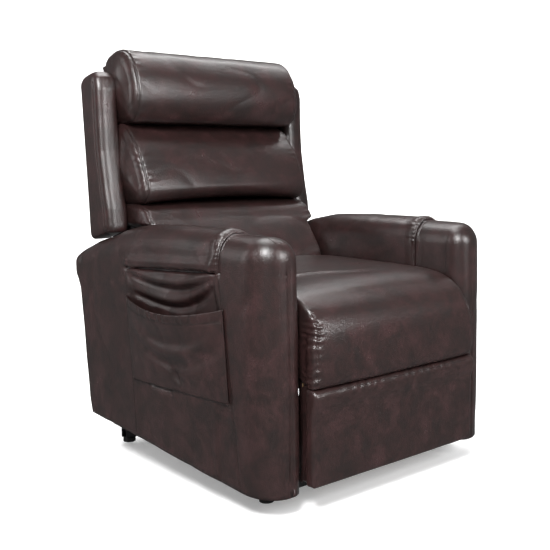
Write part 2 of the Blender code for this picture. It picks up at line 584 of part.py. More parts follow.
# ---- back ----------------------------------------------------------------------------------------------------
def back_frame(body):
    def strip(near, far, low, high):
        return [(back_plane(low) - near, low), (back_plane(high) - near, high),
                (back_plane(high) - far, high), (back_plane(low) - far, low)]

    panel = BACK_PANEL_THICK
    narrow, wide = CUSHION_HALF, WING_OUT - 0.012
    lower = side_prism(strip(0.0, panel, BACK_PANEL_LOW, BACK_PANEL_TOP), -narrow, narrow)
    upper = side_prism(strip(0.0, panel, BACK_SHOULDER, BACK_PANEL_TOP), -wide, wide)
    build("back_panel", lower, "leather", body, joins=[upper])
    post_in, post_out = ARM_IN + 0.004, POST_OUT
    plate_in, plate_out = POST_OUT + GAP, LINK_OUT
    near, far = panel + GAP, panel + GAP + BACK_POST_DEEP
    plates, pins = [], []
    for side, sign in SIDES:
        post = strip(near, far, BACK_PANEL_LOW + 0.012, BACK_PANEL_TOP - 0.020)
        put(f"back_post_{side}", side_prism(post, sign * post_in, sign * post_out), "steel", body)
        shape = [(BACK_PIVOT.y - 0.018, BACK_PIVOT.z - 0.004), (BACK_PIVOT.y - 0.004, BACK_PIVOT.z - 0.018),
                 (BACK_PIVOT.y + 0.016, BACK_PIVOT.z - 0.014), (BACK_PIVOT.y + 0.080, BACK_PIVOT.z + 0.050),
                 (BACK_PIVOT.y + 0.089, BACK_PIVOT.z + 0.085), (BACK_PIVOT.y + 0.060, BACK_PIVOT.z + 0.085),
                 (BACK_PIVOT.y - 0.012, BACK_PIVOT.z + 0.016)]
        plates.append(side_prism(shape, sign * plate_in, sign * plate_out))
        pins.append(cross_pin(BACK_PIVOT, sign * (plate_out - 0.003), sign * (RAIL_OUT + 0.001)))
    _, eye = BACK_MOTOR
    levers = [side_prism(bar_outline(BACK_PIVOT, at_x(eye, 0), 0.044), eye.x + x, eye.x + x + PLATE)
              for x in (-0.019, 0.013)]
    slot = cross_pin(eye, eye.x - 0.03, eye.x + 0.03, PIN_R + SLOT_PLAY)
    tube = rod(at_x(BACK_PIVOT, -plate_in - 0.002), at_x(BACK_PIVOT, plate_in + 0.002), SHAFT_R, 14)
    build("back_pivot_tube", tube, "steel", body, joins=[*plates, *pins, *levers], cuts=[slot])
    return far + GAP


def back_soft(body, behind):
    def face(z):
        return back_plane(z) - behind

    def profile(points):
        """(depth in front of the rear swell, z) points as an outline on the back."""
        return [(REAR - ahead, z) for ahead, z in points]

    head = [(face(0.863), 0.863),
            *profile([(0.154, 0.866), (0.176, 0.915), (0.173, 0.975), (0.131, HEIGHT - 0.010),
                      (0.086, HEIGHT + 0.001), (0.031, HEIGHT - 0.015), (0.012, HEIGHT - 0.051),
                      (0.016, HEIGHT - 0.068)]),
            (face(HEIGHT - 0.068), HEIGHT - 0.068)]
    middle = [(face(0.648), 0.648),
              *profile([(0.188, 0.648), (0.208, 0.672), (0.190, 0.720), (0.148, 0.800), (0.110, 0.857)]),
              (face(0.860), 0.860)]
    lumbar = [(face(0.438), 0.438),
              *profile([(0.266, 0.438), (0.304, 0.458), (0.310, 0.492), (0.248, 0.588), (0.194, 0.645)]),
              (face(0.645), 0.645)]
    for name, outline, half in (("head_cushion", head, BACK_HALF), ("middle_cushion", middle, BACK_HALF),
                                ("lumbar_cushion", lumbar, CUSHION_HALF)):
        put(name, side_prism(rounded(outline, 0.020, 2), -half, half), "leather", body, bevel=0.010)
    before = BACK_PANEL_THICK + 0.0005
    wing = [*profile([(0.174, 0.592), (0.119, 0.584)]),
            (back_plane(BACK_SHOULDER - 0.010) - before, BACK_SHOULDER - 0.010),
            (back_plane(BACK_PANEL_TOP - 0.025) - before, BACK_PANEL_TOP - 0.025),
            *profile([(0.044, 0.992), (0.084, 0.998), (0.112, 0.975), (0.120, 0.800), (0.146, 0.670)])]
    for side, sign in SIDES:
        made = side_prism(rounded(wing, 0.020, 2), sign * (BACK_HALF + 0.002), sign * WING_OUT)
        put(f"back_wing_{side}", made, "leather", body, bevel=0.012, segments=2)


# ---- actuators -----------------------------------------------------------------------------------------------
def actuator(name, ends, housing_body, rod_body, retracts, share=0.60):
    """A housing with a blind bore and a trunnion, and the rod that slides in it with its cross pin.
    retracts is how far the rod is drawn in from the rest position."""
    pivot, eye = ends
    run = eye - pivot
    length = run.length
    run = run.normalized()
    barrel = length * share
    housing = [(0.024, 0.0), (0.024, 0.016), (0.032, 0.022), (0.092, 0.022), (0.102, 0.016),
               (barrel, 0.016), (barrel, 0.0102), (0.045, 0.0102), (0.045, 0.0)]
    trunnion = cross_pin(pivot, pivot.x - 0.0165, pivot.x + 0.0165)
    neck = rod(pivot - run * 0.009, pivot + run * 0.030, 0.0088)
    build(f"{name}_housing", lathe(pivot, eye, housing), "plastic", housing_body, joins=[neck, trunnion])
    start = pivot + run * (0.048 + retracts)
    stem = rod(start, eye + run * 0.006, 0.009, 14)
    pin = cross_pin(eye, eye.x - 0.0185, eye.x + 0.0185)
    build(f"{name}_rod", stem, "zinc", rod_body, joins=[pin])


def main():
    clear_scene()
    base = body_empty("base", (0, 0, 0))
    lift_arms = body_empty("lift_arms", LIFT_PIVOT)
    lift_links = body_empty("lift_links", LINK_PIVOT)
    carriage = body_empty("carriage", LIFT_END)
    flap = body_empty("footrest", FOOT_PIVOT)
    shaft = body_empty("footrest_shaft", FOOT_SHAFT)
    push_links = body_empty("footrest_links", FOOT_SHAFT + CRANK)
    back = body_empty("backrest", BACK_PIVOT)
    button_up = body_empty("button_up", (0, 0, 0))
    button_down = body_empty("button_down", (0, 0, 0))
    base_frame(base)
    lift_linkage(lift_arms, lift_links)
    seat_steel(carriage)
    seat_spring(carriage)
    seat_soft(carriage)
    arms(carriage)
    side_pocket(carriage)
    handset(carriage, button_up, button_down)
    footrest(flap, shaft, push_links)
    back_soft(back, back_frame(back))
    motors = (("lift_motor", LIFT_MOTOR, 0.0), ("back_motor", BACK_MOTOR, BACK_STROKE),
              ("footrest_motor", FOOT_MOTOR, 0.0))
    for name, ends, retracts in motors:
        housing = body_empty(f"{name}_housing_body", ends[0])
        moving = body_empty(f"{name}_rod_body", ends[1])
        actuator(name, ends, housing, moving, retracts)


main()
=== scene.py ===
"""The looks of a lift recliner chair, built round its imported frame: an add-on that is run as a script."""
import json
import math

import bmesh
import bpy
import numpy as np
from bpy.props import FloatProperty, FloatVectorProperty, PointerProperty, StringProperty
from mathutils import Euler, Matrix, Vector, noise
from mathutils.bvhtree import BVHTree


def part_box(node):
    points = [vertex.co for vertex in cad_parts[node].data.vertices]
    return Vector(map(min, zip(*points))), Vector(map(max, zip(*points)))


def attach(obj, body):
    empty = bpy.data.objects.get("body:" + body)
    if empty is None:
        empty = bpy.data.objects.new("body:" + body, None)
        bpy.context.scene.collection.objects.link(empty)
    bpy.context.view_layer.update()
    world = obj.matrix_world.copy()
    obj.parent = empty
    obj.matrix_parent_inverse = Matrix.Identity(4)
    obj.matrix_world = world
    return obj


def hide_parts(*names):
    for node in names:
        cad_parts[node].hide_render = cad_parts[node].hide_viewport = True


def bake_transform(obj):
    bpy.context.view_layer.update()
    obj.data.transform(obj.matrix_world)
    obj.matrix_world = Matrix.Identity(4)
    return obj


bl_info = {
    "name": "Lift Recliner Chair",
    "version": (1, 0, 0),
    "blender": (4, 5, 0),
    "location": "View3D > Sidebar > Recliner",
    "description": "Builds the upholstery, the finishes and the studio round the packed chair frame",
    "category": "Object",
}

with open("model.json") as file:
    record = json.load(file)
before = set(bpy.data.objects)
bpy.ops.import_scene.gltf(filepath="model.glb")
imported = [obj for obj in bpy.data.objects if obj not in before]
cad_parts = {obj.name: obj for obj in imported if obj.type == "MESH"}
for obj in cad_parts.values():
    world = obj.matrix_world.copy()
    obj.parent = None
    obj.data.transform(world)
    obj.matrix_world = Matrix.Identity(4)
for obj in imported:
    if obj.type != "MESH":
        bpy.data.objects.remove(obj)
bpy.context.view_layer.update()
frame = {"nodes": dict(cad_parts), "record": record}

SEAT_LOW, SEAT_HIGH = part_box("seat_cushion")
CALF_LOW, CALF_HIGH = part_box("calf_pad")
FOOT_LOW, FOOT_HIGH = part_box("foot_pad")
BOARD_LOW, BOARD_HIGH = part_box("footrest_board")
HEAD_HIGH, MIDDLE_HIGH, LUMBAR_HIGH = (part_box(f"{part}_cushion")[1] for part in ("head", "middle", "lumbar"))
WING_LOW, WING_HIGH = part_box("back_wing_left")
PANEL_LOW, PANEL_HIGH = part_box("back_panel")
PAD_LOW, PAD_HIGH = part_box("arm_pad_left")
POST_LOW, POST_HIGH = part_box("arm_front_pad_left")
HANDSET_LOW, HANDSET_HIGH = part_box("handset_case")
SKIRT_LOW, SKIRT_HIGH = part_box("rear_skirt")
SIDES = (("right", -1), ("left", 1))     # the sitter's right and left
THREAD_RADIUS = 0.0005
WING_FRONT = ((0.577, 0.260), (0.640, 0.267), (0.700, 0.280), (0.790, 0.295), (0.880, 0.300), (0.950, 0.301),
              (0.985, 0.308), (1.006, 0.322))     # (height, y) of the wings' front edge


# ---- settings ------------------------------------------------------------------------------------
class ChairSizes(bpy.types.PropertyGroup):
    """How full the upholstery is, and how its seams are sewn."""
    crown: FloatProperty(name="Seat crown", description="How far the seat rises in its middle", default=0.012,
                         unit="LENGTH")
    welt: FloatProperty(name="Welt radius", description="Radius of a covered cord in a seam", default=0.0024,
                        unit="LENGTH")
    stitch: FloatProperty(name="Stitch length", description="Length of one stitch of top-stitching",
                          default=0.0042, unit="LENGTH")
    gather: FloatProperty(name="Gather pitch", description="Distance between the puckers of a gathered seam",
                          default=0.011, unit="LENGTH")
    crease: FloatProperty(name="Crease depth", description="Depth of the soft creases in the leather",
                          default=0.0016, unit="LENGTH")


class ChairColours(bpy.types.PropertyGroup):
    """Finishes, as sRGB hex values."""
    leather: StringProperty(name="Leather", description="Main tone of the coated leather", default="#281a19")
    leather_red: StringProperty(name="Leather tint", description="Burgundy tone of the rubbed finish",
                                default="#332121")
    leather_dark: StringProperty(name="Leather shade", description="Darkest tone of the rubbed finish",
                                 default="#201716")
    thread: StringProperty(name="Thread", description="Sewing thread", default="#1b1312")
    steel: StringProperty(name="Steel", description="Powder coat of the lift base", default="#17171a")
    floor: StringProperty(name="Floor", description="Studio floor", default="#f4f4f4")


class StudioSettings(bpy.types.PropertyGroup):
    """Camera and lights of the studio."""
    camera_place: FloatVectorProperty(name="Camera", description="Where the camera stands", size=3,
                                      default=(-1.5074, -1.7367, 0.7519), subtype="TRANSLATION")
    camera_yaw: FloatProperty(name="Yaw", description="Camera heading, clockwise from the chair's rear",
                              default=math.radians(40.604), subtype="ANGLE")
    camera_pitch: FloatProperty(name="Pitch", description="How far the camera looks down",
                                default=math.radians(7.217), subtype="ANGLE")
    camera_roll: FloatProperty(name="Roll", description="Tilt of the camera about its line of sight",
                               default=math.radians(-0.422), subtype="ANGLE")
    focal: FloatProperty(name="Focal length", default=57.36,
                         description="On a sensor 36 mm wide, in millimetres")
    key: FloatProperty(name="Key light", description="Power of the main softbox, in watts", default=62.0)


def sizes():
    return bpy.context.scene.chair_sizes


# ---- materials -----------------------------------------------------------------------------------
def linear(hex_value):
    """An sRGB hex value as a linear colour."""
    parts = [int(hex_value[i:i + 2], 16) / 255 for i in (1, 3, 5)]
    return (*[c / 12.92 if c <= 0.04045 else ((c + 0.055) / 1.055) ** 2.4 for c in parts], 1.0)


def add(tree, kind, settings=None, links=None):
    """Add a node: settings go to its own values or, by name, to its sockets, and links feed its sockets."""
    node = tree.nodes.new(kind)
    for key, value in (settings or {}).items():
        if isinstance(key, str) and hasattr(node, key):
            setattr(node, key, value)
        else:
            node.inputs[key].default_value = value
    for key, source in (links or {}).items():
        tree.links.new(source, node.inputs[key])
    return node


def grey(value):
    return (value, value, value, 1.0)


def new_material(name):
    made = bpy.data.materials.new(name)
    made.use_nodes = True
    made.node_tree.nodes.clear()
    return made, made.node_tree


def finish_material(tree, settings, links):
    shader = add(tree, "ShaderNodeBsdfPrincipled", settings, links)
    add(tree, "ShaderNodeOutputMaterial", links={"Surface": shader.outputs["BSDF"]})


def ramp(tree, source, stops):
    """A colour ramp through (place, colour) stops."""
    node = add(tree, "ShaderNodeValToRGB", links={"Fac": source})
    points = node.color_ramp.elements
    while len(points) < len(stops):
        points.new(0.5)
    for point, (place, colour) in zip(points, stops):
        point.position = place
        point.color = colour
    return node


def mapped(tree, stretch=(1.0, 1.0, 1.0)):
    """Coordinates in the piece's own metres, stretched where a finish has a direction."""
    place = add(tree, "ShaderNodeTexCoord").outputs["Object"]
    return add(tree, "ShaderNodeMapping", {"Scale": stretch}, {"Vector": place}).outputs["Vector"]


def per_mm(size_mm):
    """Texture scale whose cells are this wide, for coordinates in metres."""
    return 1000.0 / size_mm


def coated_leather():
    """Polyurethane-coated split leather, embossed and hand rubbed: a fine pebble grain under a soft gloss,
    with cloudy darker and redder patches where the top colour was rubbed back."""
    colours = bpy.context.scene.chair_colours
    made, tree = new_material("coated_leather")
    place = mapped(tree)
    cloud = add(tree, "ShaderNodeTexNoise", {"Scale": per_mm(52), "Detail": 6.0, "Roughness": 0.68,
                                             "Distortion": 0.4}, {"Vector": place})
    tone = ramp(tree, cloud.outputs["Fac"],
                ((0.36, linear(colours.leather_dark)), (0.50, linear(colours.leather)),
                 (0.66, linear(colours.leather_red))))
    speck = add(tree, "ShaderNodeTexNoise", {"Scale": per_mm(9), "Detail": 4.0, "Roughness": 0.7},
                {"Vector": place})
    shade = ramp(tree, speck.outputs["Fac"],
                 ((0.25, (0.74, 0.74, 0.76, 1.0)), (0.75, (1.22, 1.18, 1.16, 1.0))))
    mixed = add(tree, "ShaderNodeMix", {"data_type": "RGBA", "blend_type": "MULTIPLY", 0: 1.0},
                {6: tone.outputs["Color"], 7: shade.outputs["Color"]})
    gloss = ramp(tree, cloud.outputs["Fac"], ((0.30, grey(0.34)), (0.70, grey(0.27))))
    # The real pebble is about 1 mm across; it is drawn at 1.9 mm so that it shows.
    pebble = add(tree, "ShaderNodeTexVoronoi", {"Scale": per_mm(1.9), "Randomness": 1.0}, {"Vector": place})
    crepe = add(tree, "ShaderNodeTexNoise", {"Scale": per_mm(5), "Detail": 4.0}, {"Vector": place})
    height = add(tree, "ShaderNodeMath", {"operation": "MULTIPLY_ADD", 1: 0.8},
                 {0: crepe.outputs["Fac"], 2: pebble.outputs["Distance"]})
    bump = add(tree, "ShaderNodeBump", {"Strength": 0.42, "Distance": 0.0008},
               {"Height": height.outputs["Value"]})
    finish_material(tree,
                    {"IOR": 1.47, "Specular IOR Level": 0.66, "Coat Weight": 0.18, "Coat Roughness": 0.20},
                    {"Base Color": mixed.outputs[2], "Roughness": gloss.outputs["Color"],
                     "Normal": bump.outputs["Normal"]})
    return made


def polyester_thread():
    """Bonded polyester sewing thread: twisted, slightly shiny."""
    made, tree = new_material("polyester_thread")
    twist = add(tree, "ShaderNodeTexWave", {"Scale": per_mm(1.2), "Distortion": 0.5},
                {"Vector": mapped(tree)})
    bump = add(tree, "ShaderNodeBump", {"Strength": 0.4, "Distance": 0.0002},
               {"Height": twist.outputs["Fac"]})
    finish_material(tree, {"Base Color": linear(bpy.context.scene.chair_colours.thread), "Roughness": 0.45},
                    {"Normal": bump.outputs["Normal"]})
    return made


def powder_coat():
    """Black powder-coated steel tube: orange-peel texture, satin, with faint dusty patches."""
    made, tree = new_material("powder_coat")
    place = mapped(tree)
    peel = add(tree, "ShaderNodeTexNoise", {"Scale": per_mm(2.5), "Detail": 2.0}, {"Vector": place})
    patch = add(tree, "ShaderNodeTexNoise", {"Scale": per_mm(60), "Detail": 4.0}, {"Vector": place})
    rough = ramp(tree, patch.outputs["Fac"], ((0.3, grey(0.38)), (0.7, grey(0.52))))
    bump = add(tree, "ShaderNodeBump", {"Strength": 0.25, "Distance": 0.0003},
               {"Height": peel.outputs["Fac"]})
    finish_material(tree, {"Base Color": linear(bpy.context.scene.chair_colours.steel), "IOR": 1.5},
                    {"Roughness": rough.outputs["Color"], "Normal": bump.outputs["Normal"]})
    return made


def zinc_plate():
    """Bright zinc-plated steel: fine drawn lines along the wire or rod."""
    made, tree = new_material("zinc_plate")
    lines = add(tree, "ShaderNodeTexNoise", {"Scale": per_mm(1.5), "Detail": 2.0},
                {"Vector": mapped(tree, (1.0, 0.05, 1.0))})
    rough = ramp(tree, lines.outputs["Fac"], ((0.3, grey(0.24)), (0.7, grey(0.40))))
    finish_material(tree, {"Base Color": linear("#c3c6c9"), "Metallic": 1.0},
                    {"Roughness": rough.outputs["Color"]})
    return made


def birch_ply():
    """Sawn birch plywood, unfinished: long pale grain with darker lines."""
    made, tree = new_material("birch_ply")
    grain = add(tree, "ShaderNodeTexNoise", {"Scale": per_mm(9), "Detail": 6.0, "Distortion": 1.2},
                {"Vector": mapped(tree, (1.0, 0.12, 1.0))})
    tone = ramp(tree, grain.outputs["Fac"], ((0.35, linear("#a98257")), (0.65, linear("#d2b083"))))
    bump = add(tree, "ShaderNodeBump", {"Strength": 0.2, "Distance": 0.0004},
               {"Height": grain.outputs["Fac"]})
    finish_material(tree, {"Roughness": 0.62, "IOR": 1.5},
                    {"Base Color": tone.outputs["Color"], "Normal": bump.outputs["Normal"]})
    return made


def dust_cloth():
    """Black spun-bonded polypropylene: matt, with a small embossed dot pattern."""
    made, tree = new_material("dust_cloth")
    place = mapped(tree)
    dots = add(tree, "ShaderNodeTexVoronoi", {"Scale": per_mm(2.2), "Randomness": 0.15}, {"Vector": place})
    fibre = add(tree, "ShaderNodeTexNoise", {"Scale": per_mm(1.0), "Detail": 4.0}, {"Vector": place})
    tone = ramp(tree, fibre.outputs["Fac"], ((0.3, linear("#0d0d0e")), (0.7, linear("#17171a"))))
    bump = add(tree, "ShaderNodeBump", {"Strength": 0.5, "Distance": 0.0004},
               {"Height": dots.outputs["Distance"]})
    finish_material(tree, {"Roughness": 0.92, "Sheen Weight": 0.05, "IOR": 1.45},
                    {"Base Color": tone.outputs["Color"], "Normal": bump.outputs["Normal"]})
    return made


def moulded(name, colour, roughness, texture_mm):
    """Injection-moulded ABS or rubber with a spark-eroded texture of this grain."""
    made, tree = new_material(name)
    grain = add(tree, "ShaderNodeTexNoise", {"Scale": per_mm(texture_mm), "Detail": 3.0},
                {"Vector": mapped(tree)})
    rough = ramp(tree, grain.outputs["Fac"], ((0.3, grey(roughness * 0.85)), (0.7, grey(roughness * 1.1))))
    bump = add(tree, "ShaderNodeBump", {"Strength": 0.2, "Distance": 0.0002},
               {"Height": grain.outputs["Fac"]})
    finish_material(tree, {"Base Color": linear(colour), "IOR": 1.5},
                    {"Roughness": rough.outputs["Color"], "Normal": bump.outputs["Normal"]})
    return made


def studio_paper(name, colour):
    """Matt background paper with a very faint mottle."""
    made, tree = new_material(name)
    mottle = add(tree, "ShaderNodeTexNoise", {"Scale": per_mm(300), "Detail": 2.0}, {"Vector": mapped(tree)})
    base = linear(colour)
    shade = (*[part * 0.98 for part in base[:3]], 1.0)
    tone = ramp(tree, mottle.outputs["Fac"], ((0.3, shade), (0.7, base)))
    finish_material(tree, {"Roughness": 0.9, "Emission Color": base, "Emission Strength": 0.30},
                    {"Base Color": tone.outputs["Color"]})
    return made


MATERIALS = {
    "leather": coated_leather,
    "thread": polyester_thread,
    "black_steel": powder_coat,
    "zinc_steel": zinc_plate,
    "plywood": birch_ply,
    "dust_cloth": dust_cloth,
    "motor_plastic": lambda: moulded("motor_abs", "#1a1a1c", 0.5, 1.2),
    "handset_plastic": lambda: moulded("handset_abs", "#1c1c1f", 0.42, 0.8),
    "button_plastic": lambda: moulded("button_abs", "#8d9196", 0.5, 0.8),
    "glide_rubber": lambda: moulded("glide_rubber", "#141414", 0.75, 1.5),
}
made_materials = {}


def material(slot):
    if slot not in made_materials:
        made_materials[slot] = MATERIALS[slot]()
    return made_materials[slot]


# ---- shapes --------------------------------------------------------------------------------------
def smooth_loop(points, count, closed=True):
    """This many evenly spaced points on a smooth curve through the given ones."""
    points = [Vector(p) for p in points]
    total = len(points)
    fine = []
    for i in range(total if closed else total - 1):
        p0 = points[i - 1] if closed or i else points[0]
        p1, p2 = points[i], points[(i + 1) % total]
        p3 = points[(i + 2) % total] if closed or i + 2 < total else points[-1]
        for k in range(12):
            t = k / 12
            fine.append(0.5 * (2 * p1 + (p2 - p0) * t + (2 * p0 - 5 * p1 + 4 * p2 - p3) * t * t
                               + (3 * p1 - p0 - 3 * p2 + p3) * t ** 3))
    fine.append(points[0] if closed else points[-1])
    fine = np.array([list(p) for p in fine])
    along = np.concatenate([[0], np.cumsum(np.linalg.norm(np.diff(fine, axis=0), axis=1))])
    wanted = np.linspace(0, along[-1], count + 1)[:-1] if closed else np.linspace(0, along[-1], count)
    return np.stack([np.interp(wanted, along, fine[:, k]) for k in range(fine.shape[1])], axis=1)


def inset_loop(loop, distance):
    """A 2-D loop moved inwards by this distance."""
    run = np.roll(loop, -1, axis=0) - np.roll(loop, 1, axis=0)
    normal = np.stack([run[:, 1], -run[:, 0]], axis=1) / np.linalg.norm(run, axis=1)[:, None]
    area = np.sum(loop[:, 0] * np.roll(loop[:, 1], -1) - np.roll(loop[:, 0], -1) * loop[:, 1])
    return loop - normal * distance * (1 if area > 0 else -1)


def mesh_object(name, points, faces, slot, body=None):
    mesh = bpy.data.meshes.new(name)
    mesh.from_pydata([tuple(map(float, p)) for p in points], [], faces)
    mesh.validate()
    bm = bmesh.new()
    bm.from_mesh(mesh)
    bmesh.ops.recalc_face_normals(bm, faces=bm.faces)
    bm.to_mesh(mesh)
    bm.free()
    mesh.shade_smooth()
    made = bpy.data.objects.new(name, mesh)
    bpy.context.scene.collection.objects.link(made)
    made.data.materials.append(material(slot))
    if body:
        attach(made, body)
    return made


def skin(name, rings, slot, body=None, cap_steps=(0.93, 0.75, 0.45, 0.15), cap_bulge=0.0):
    """Join closed rings of equal length into one closed surface, its ends filled by ever smaller rings."""
    rings = [np.asarray(r, float) for r in rings]

    def cap(end, neighbour):
        away = end.mean(0) - neighbour.mean(0)
        away /= max(np.linalg.norm(away), 1e-9)
        return [end.mean(0) + (end - end.mean(0)) * s + away * cap_bulge * (1 - s * s) for s in cap_steps]

    before, after = cap(rings[0], rings[1])[::-1], cap(rings[-1], rings[-2])
    first, last = (before or rings)[0], (after or rings)[-1]
    rings = [*before, *rings, *after]
    count = len(rings[0])
    points = np.concatenate(rings)
    faces = []
    for k in range(len(rings) - 1):
        for i in range(count):
            j = (i + 1) % count
            faces.append((k * count + i, k * count + j, (k + 1) * count + j, (k + 1) * count + i))
    points = np.concatenate([points, [first.mean(0)], [last.mean(0)]])
    top = (len(rings) - 1) * count
    for i in range(count):
        j = (i + 1) % count
        faces.append((j, i, len(points) - 2))
        faces.append((top + i, top + j, len(points) - 1))
    return mesh_object(name, points, faces, slot, body)


def coords(made):
    found = np.zeros(len(made.data.vertices) * 3)
    made.data.vertices.foreach_get("co", found)
    return found.reshape(-1, 3)


def normals(made):
    found = np.zeros(len(made.data.vertices) * 3)
    made.data.vertex_normals.foreach_get("vector", found)
    return found.reshape(-1, 3)


def set_coords(made, points):
    made.data.vertices.foreach_set("co", points.ravel())
    made.data.update()


def push(made, amount):
    """Move each vertex outwards by its own amount."""
    set_coords(made, coords(made) + normals(made) * np.asarray(amount)[:, None])


def grain_noise(points, size, seed, stretch=(1, 1, 1)):
    """Smooth noise from -1 to 1 at each point, with features of this size in metres."""
    offset = Vector((seed * 7.31, seed * 3.17, seed * 1.93))
    scale = np.array(stretch) / size
    return np.array([noise.noise(Vector(p) + offset) for p in points * scale])


def soften(value, low, high):
    t = np.clip((value - low) / (high - low), 0, 1)
    return t * t * (3 - 2 * t)


def distance_to(points, path):
    """Distance of each point from a polyline."""
    path = np.asarray(path, float)
    best = np.full(len(points), 1e9)
    for a, b in zip(path[:-1], path[1:]):
        run = b - a
        t = np.clip(((points - a) @ run) / max(run @ run, 1e-12), 0, 1)
        best = np.minimum(best, np.linalg.norm(points - a - t[:, None] * run, axis=1))
    return best


def groove(made, path, depth, width):
    """Draw the surface in along a seam."""
    push(made, -depth * np.exp(-(distance_to(coords(made), path) / width) ** 2))


def laid_on(made, path, lift=0.0):
    """The path's points moved onto the surface, with the surface's normal at each."""
    surface = BVHTree.FromPolygons([tuple(v.co) for v in made.data.vertices],
                                   [tuple(p.vertices) for p in made.data.polygons])
    found = [surface.find_nearest(Vector(p)) for p in path]
    return [(place + normal * lift, normal) for place, normal, _, _ in found if place is not None]


def seam(name, made, path, body, depth=0.0016, width=0.0022):
    """A sewn seam: a fine groove, with the line of thread that closes it lying in the bottom."""
    groove(made, path, depth, width)
    line = [place for place, _ in laid_on(made, evenly(path, 0.004), -0.0001)]
    return tube(name, line, 0.00065, "thread", body, sides=6)


def evenly(path, pitch):
    path = np.asarray(path, float)
    along = np.concatenate([[0], np.cumsum(np.linalg.norm(np.diff(path, axis=0), axis=1))])
    wanted = np.arange(0, along[-1], pitch)
    return np.stack([np.interp(wanted, along, path[:, k]) for k in range(3)], axis=1)


def tube(name, path, radius, slot, body, sides=8):
    """A closed tube along a path, with rounded ends: a welt or a piping."""
    path = np.asarray(path, float)
    run = np.gradient(path, axis=0)
    run /= np.linalg.norm(run, axis=1)[:, None]
    up = np.array([0.0, 0.0, 1.0])
    rings = []
    for k, (place, along) in enumerate(zip(path, run)):
        side = np.cross(along, up)
        if np.linalg.norm(side) < 0.2:
            side = np.cross(along, [0.0, 1.0, 0.0])
        side /= np.linalg.norm(side)
        up = np.cross(side, along)
        size = radius * (0.55 if k in (0, len(path) - 1) else 1.0)
        angles = np.arange(sides) * 2 * math.pi / sides
        rings.append(place + size * (np.cos(angles)[:, None] * side + np.sin(angles)[:, None] * up))
    return skin(name, rings, slot, body, cap_steps=(0.4,))


def stitching(name, made, path, body):
    """A row of stitches laid on a surface: one short capsule of thread each, sunk at both ends."""
    points, faces = [], []
    spots = laid_on(made, evenly(path, sizes().stitch), THREAD_RADIUS * 0.6)
    for (a, up), (b, _) in zip(spots[:-1], spots[1:]):
        run = b - a
        if run.length < 1e-5:
            continue
        side = run.cross(up).normalized() * THREAD_RADIUS
        rise = up * THREAD_RADIUS
        start = len(points)
        for share, size in ((0.10, 0.3), (0.28, 1.0), (0.72, 1.0), (0.90, 0.3)):
            centre = a + run * share + up * (0.0002 if size == 1.0 else -0.0004)
            for i, j in ((1, 0), (0, 1), (-1, 0), (0, -1)):
                points.append(centre + side * i * size + rise * j * size)
        for k in range(3):
            for i in range(4):
                j = (i + 1) % 4
                p, q = start + k * 4, start + (k + 1) * 4
                faces.append((p + i, p + j, q + j, q + i))
        faces.append((start, start + 1, start + 2, start + 3))
        faces.append((start + 12, start + 15, start + 14, start + 13))
    return mesh_object(name, points, faces, "thread", body)


def loft_x(name, outline, half, edge, count=96, spans=44, bulge=None, cap_bulge=0.0):
    """A cushion whose (y, z) outline runs from -half to half along X, with its ends rounded by edge."""
    loop = smooth_loop(outline, count)
    rings = []
    steps = [(-half + edge * (1 - math.cos(t)), edge * 1.1 * (1 - math.sin(t)))
             for t in np.linspace(0.16, math.pi / 2, 10)]
    middle = [(x, 0.0) for x in np.linspace(-half + edge, half - edge, spans)[1:-1]]
    for x, inset in [*steps, *middle, *[(-x, i) for x, i in reversed(steps)]]:
        ring = inset_loop(loop, inset)
        if bulge:
            ring = bulge(ring, x / half)
        rings.append(np.column_stack([np.full(count, x), ring]))
    return skin(name, rings, "leather", cap_steps=(0.94, 0.84, 0.70, 0.52, 0.32, 0.12), cap_bulge=cap_bulge)


def refine(made):
    """Subdivide the piece once, for good."""
    made.modifiers.new("finer", "SUBSURF").levels = 1
    bpy.context.view_layer.update()
    finer = bpy.data.meshes.new_from_object(made.evaluated_get(bpy.context.evaluated_depsgraph_get()))
    made.modifiers.clear()
    made.data = finer
    made.data.shade_smooth()


def creases(made, depth, size, seed, stretch=(1, 1, 1)):
    """Shallow leather creases: ridged noise, so the folds are narrow and the fields between them smooth."""
    points = coords(made)
    wave = grain_noise(points, size, seed, stretch)
    ridge = 1 - np.abs(wave) * 3.2
    push(made, -depth * np.clip(ridge, 0, 1) ** 2 + depth * 0.6 * grain_noise(points, size * 1.7, seed + 5))


def back_plane(z):
    """Rear face of the back at this height, which leans with the back panel."""
    share = (z - PANEL_LOW.z) / (PANEL_HIGH.z - PANEL_LOW.z)
    lean = PANEL_HIGH.y - PANEL_LOW.y - 0.012
    return PANEL_LOW.y + 0.012 + lean * share


# ---- back ----------------------------------------------------------------------------------------
def end_seam(made, outline, x, shrink=0.004):
    """The seam that joins a cushion's face to its end panel, as a path on its front and top."""
    loop = smooth_loop(outline, 160)
    front = [(x, y, z) for y, z in inset_loop(loop, shrink) if y < back_plane(z) - 0.075]
    front.sort(key=lambda p: p[2])
    return [tuple(place) for place, _ in laid_on(made, front)]


def pucker(made, path, depth, pitch, reach, seed):
    """Small tucks that run away from a seam and die out, some long and some short."""
    points = coords(made)
    far = distance_to(points, path)
    turn = (points[:, 2] + 0.5 * points[:, 1]) * 2 * math.pi / pitch
    wave = np.sin(turn + 5 * grain_noise(points, 0.07, seed))
    patch = soften(grain_noise(points, 0.06, seed + 3), -0.15, 0.35)
    push(made, depth * wave * patch * np.exp(-(far / reach) ** 2) * soften(far, 0.001, 0.006))


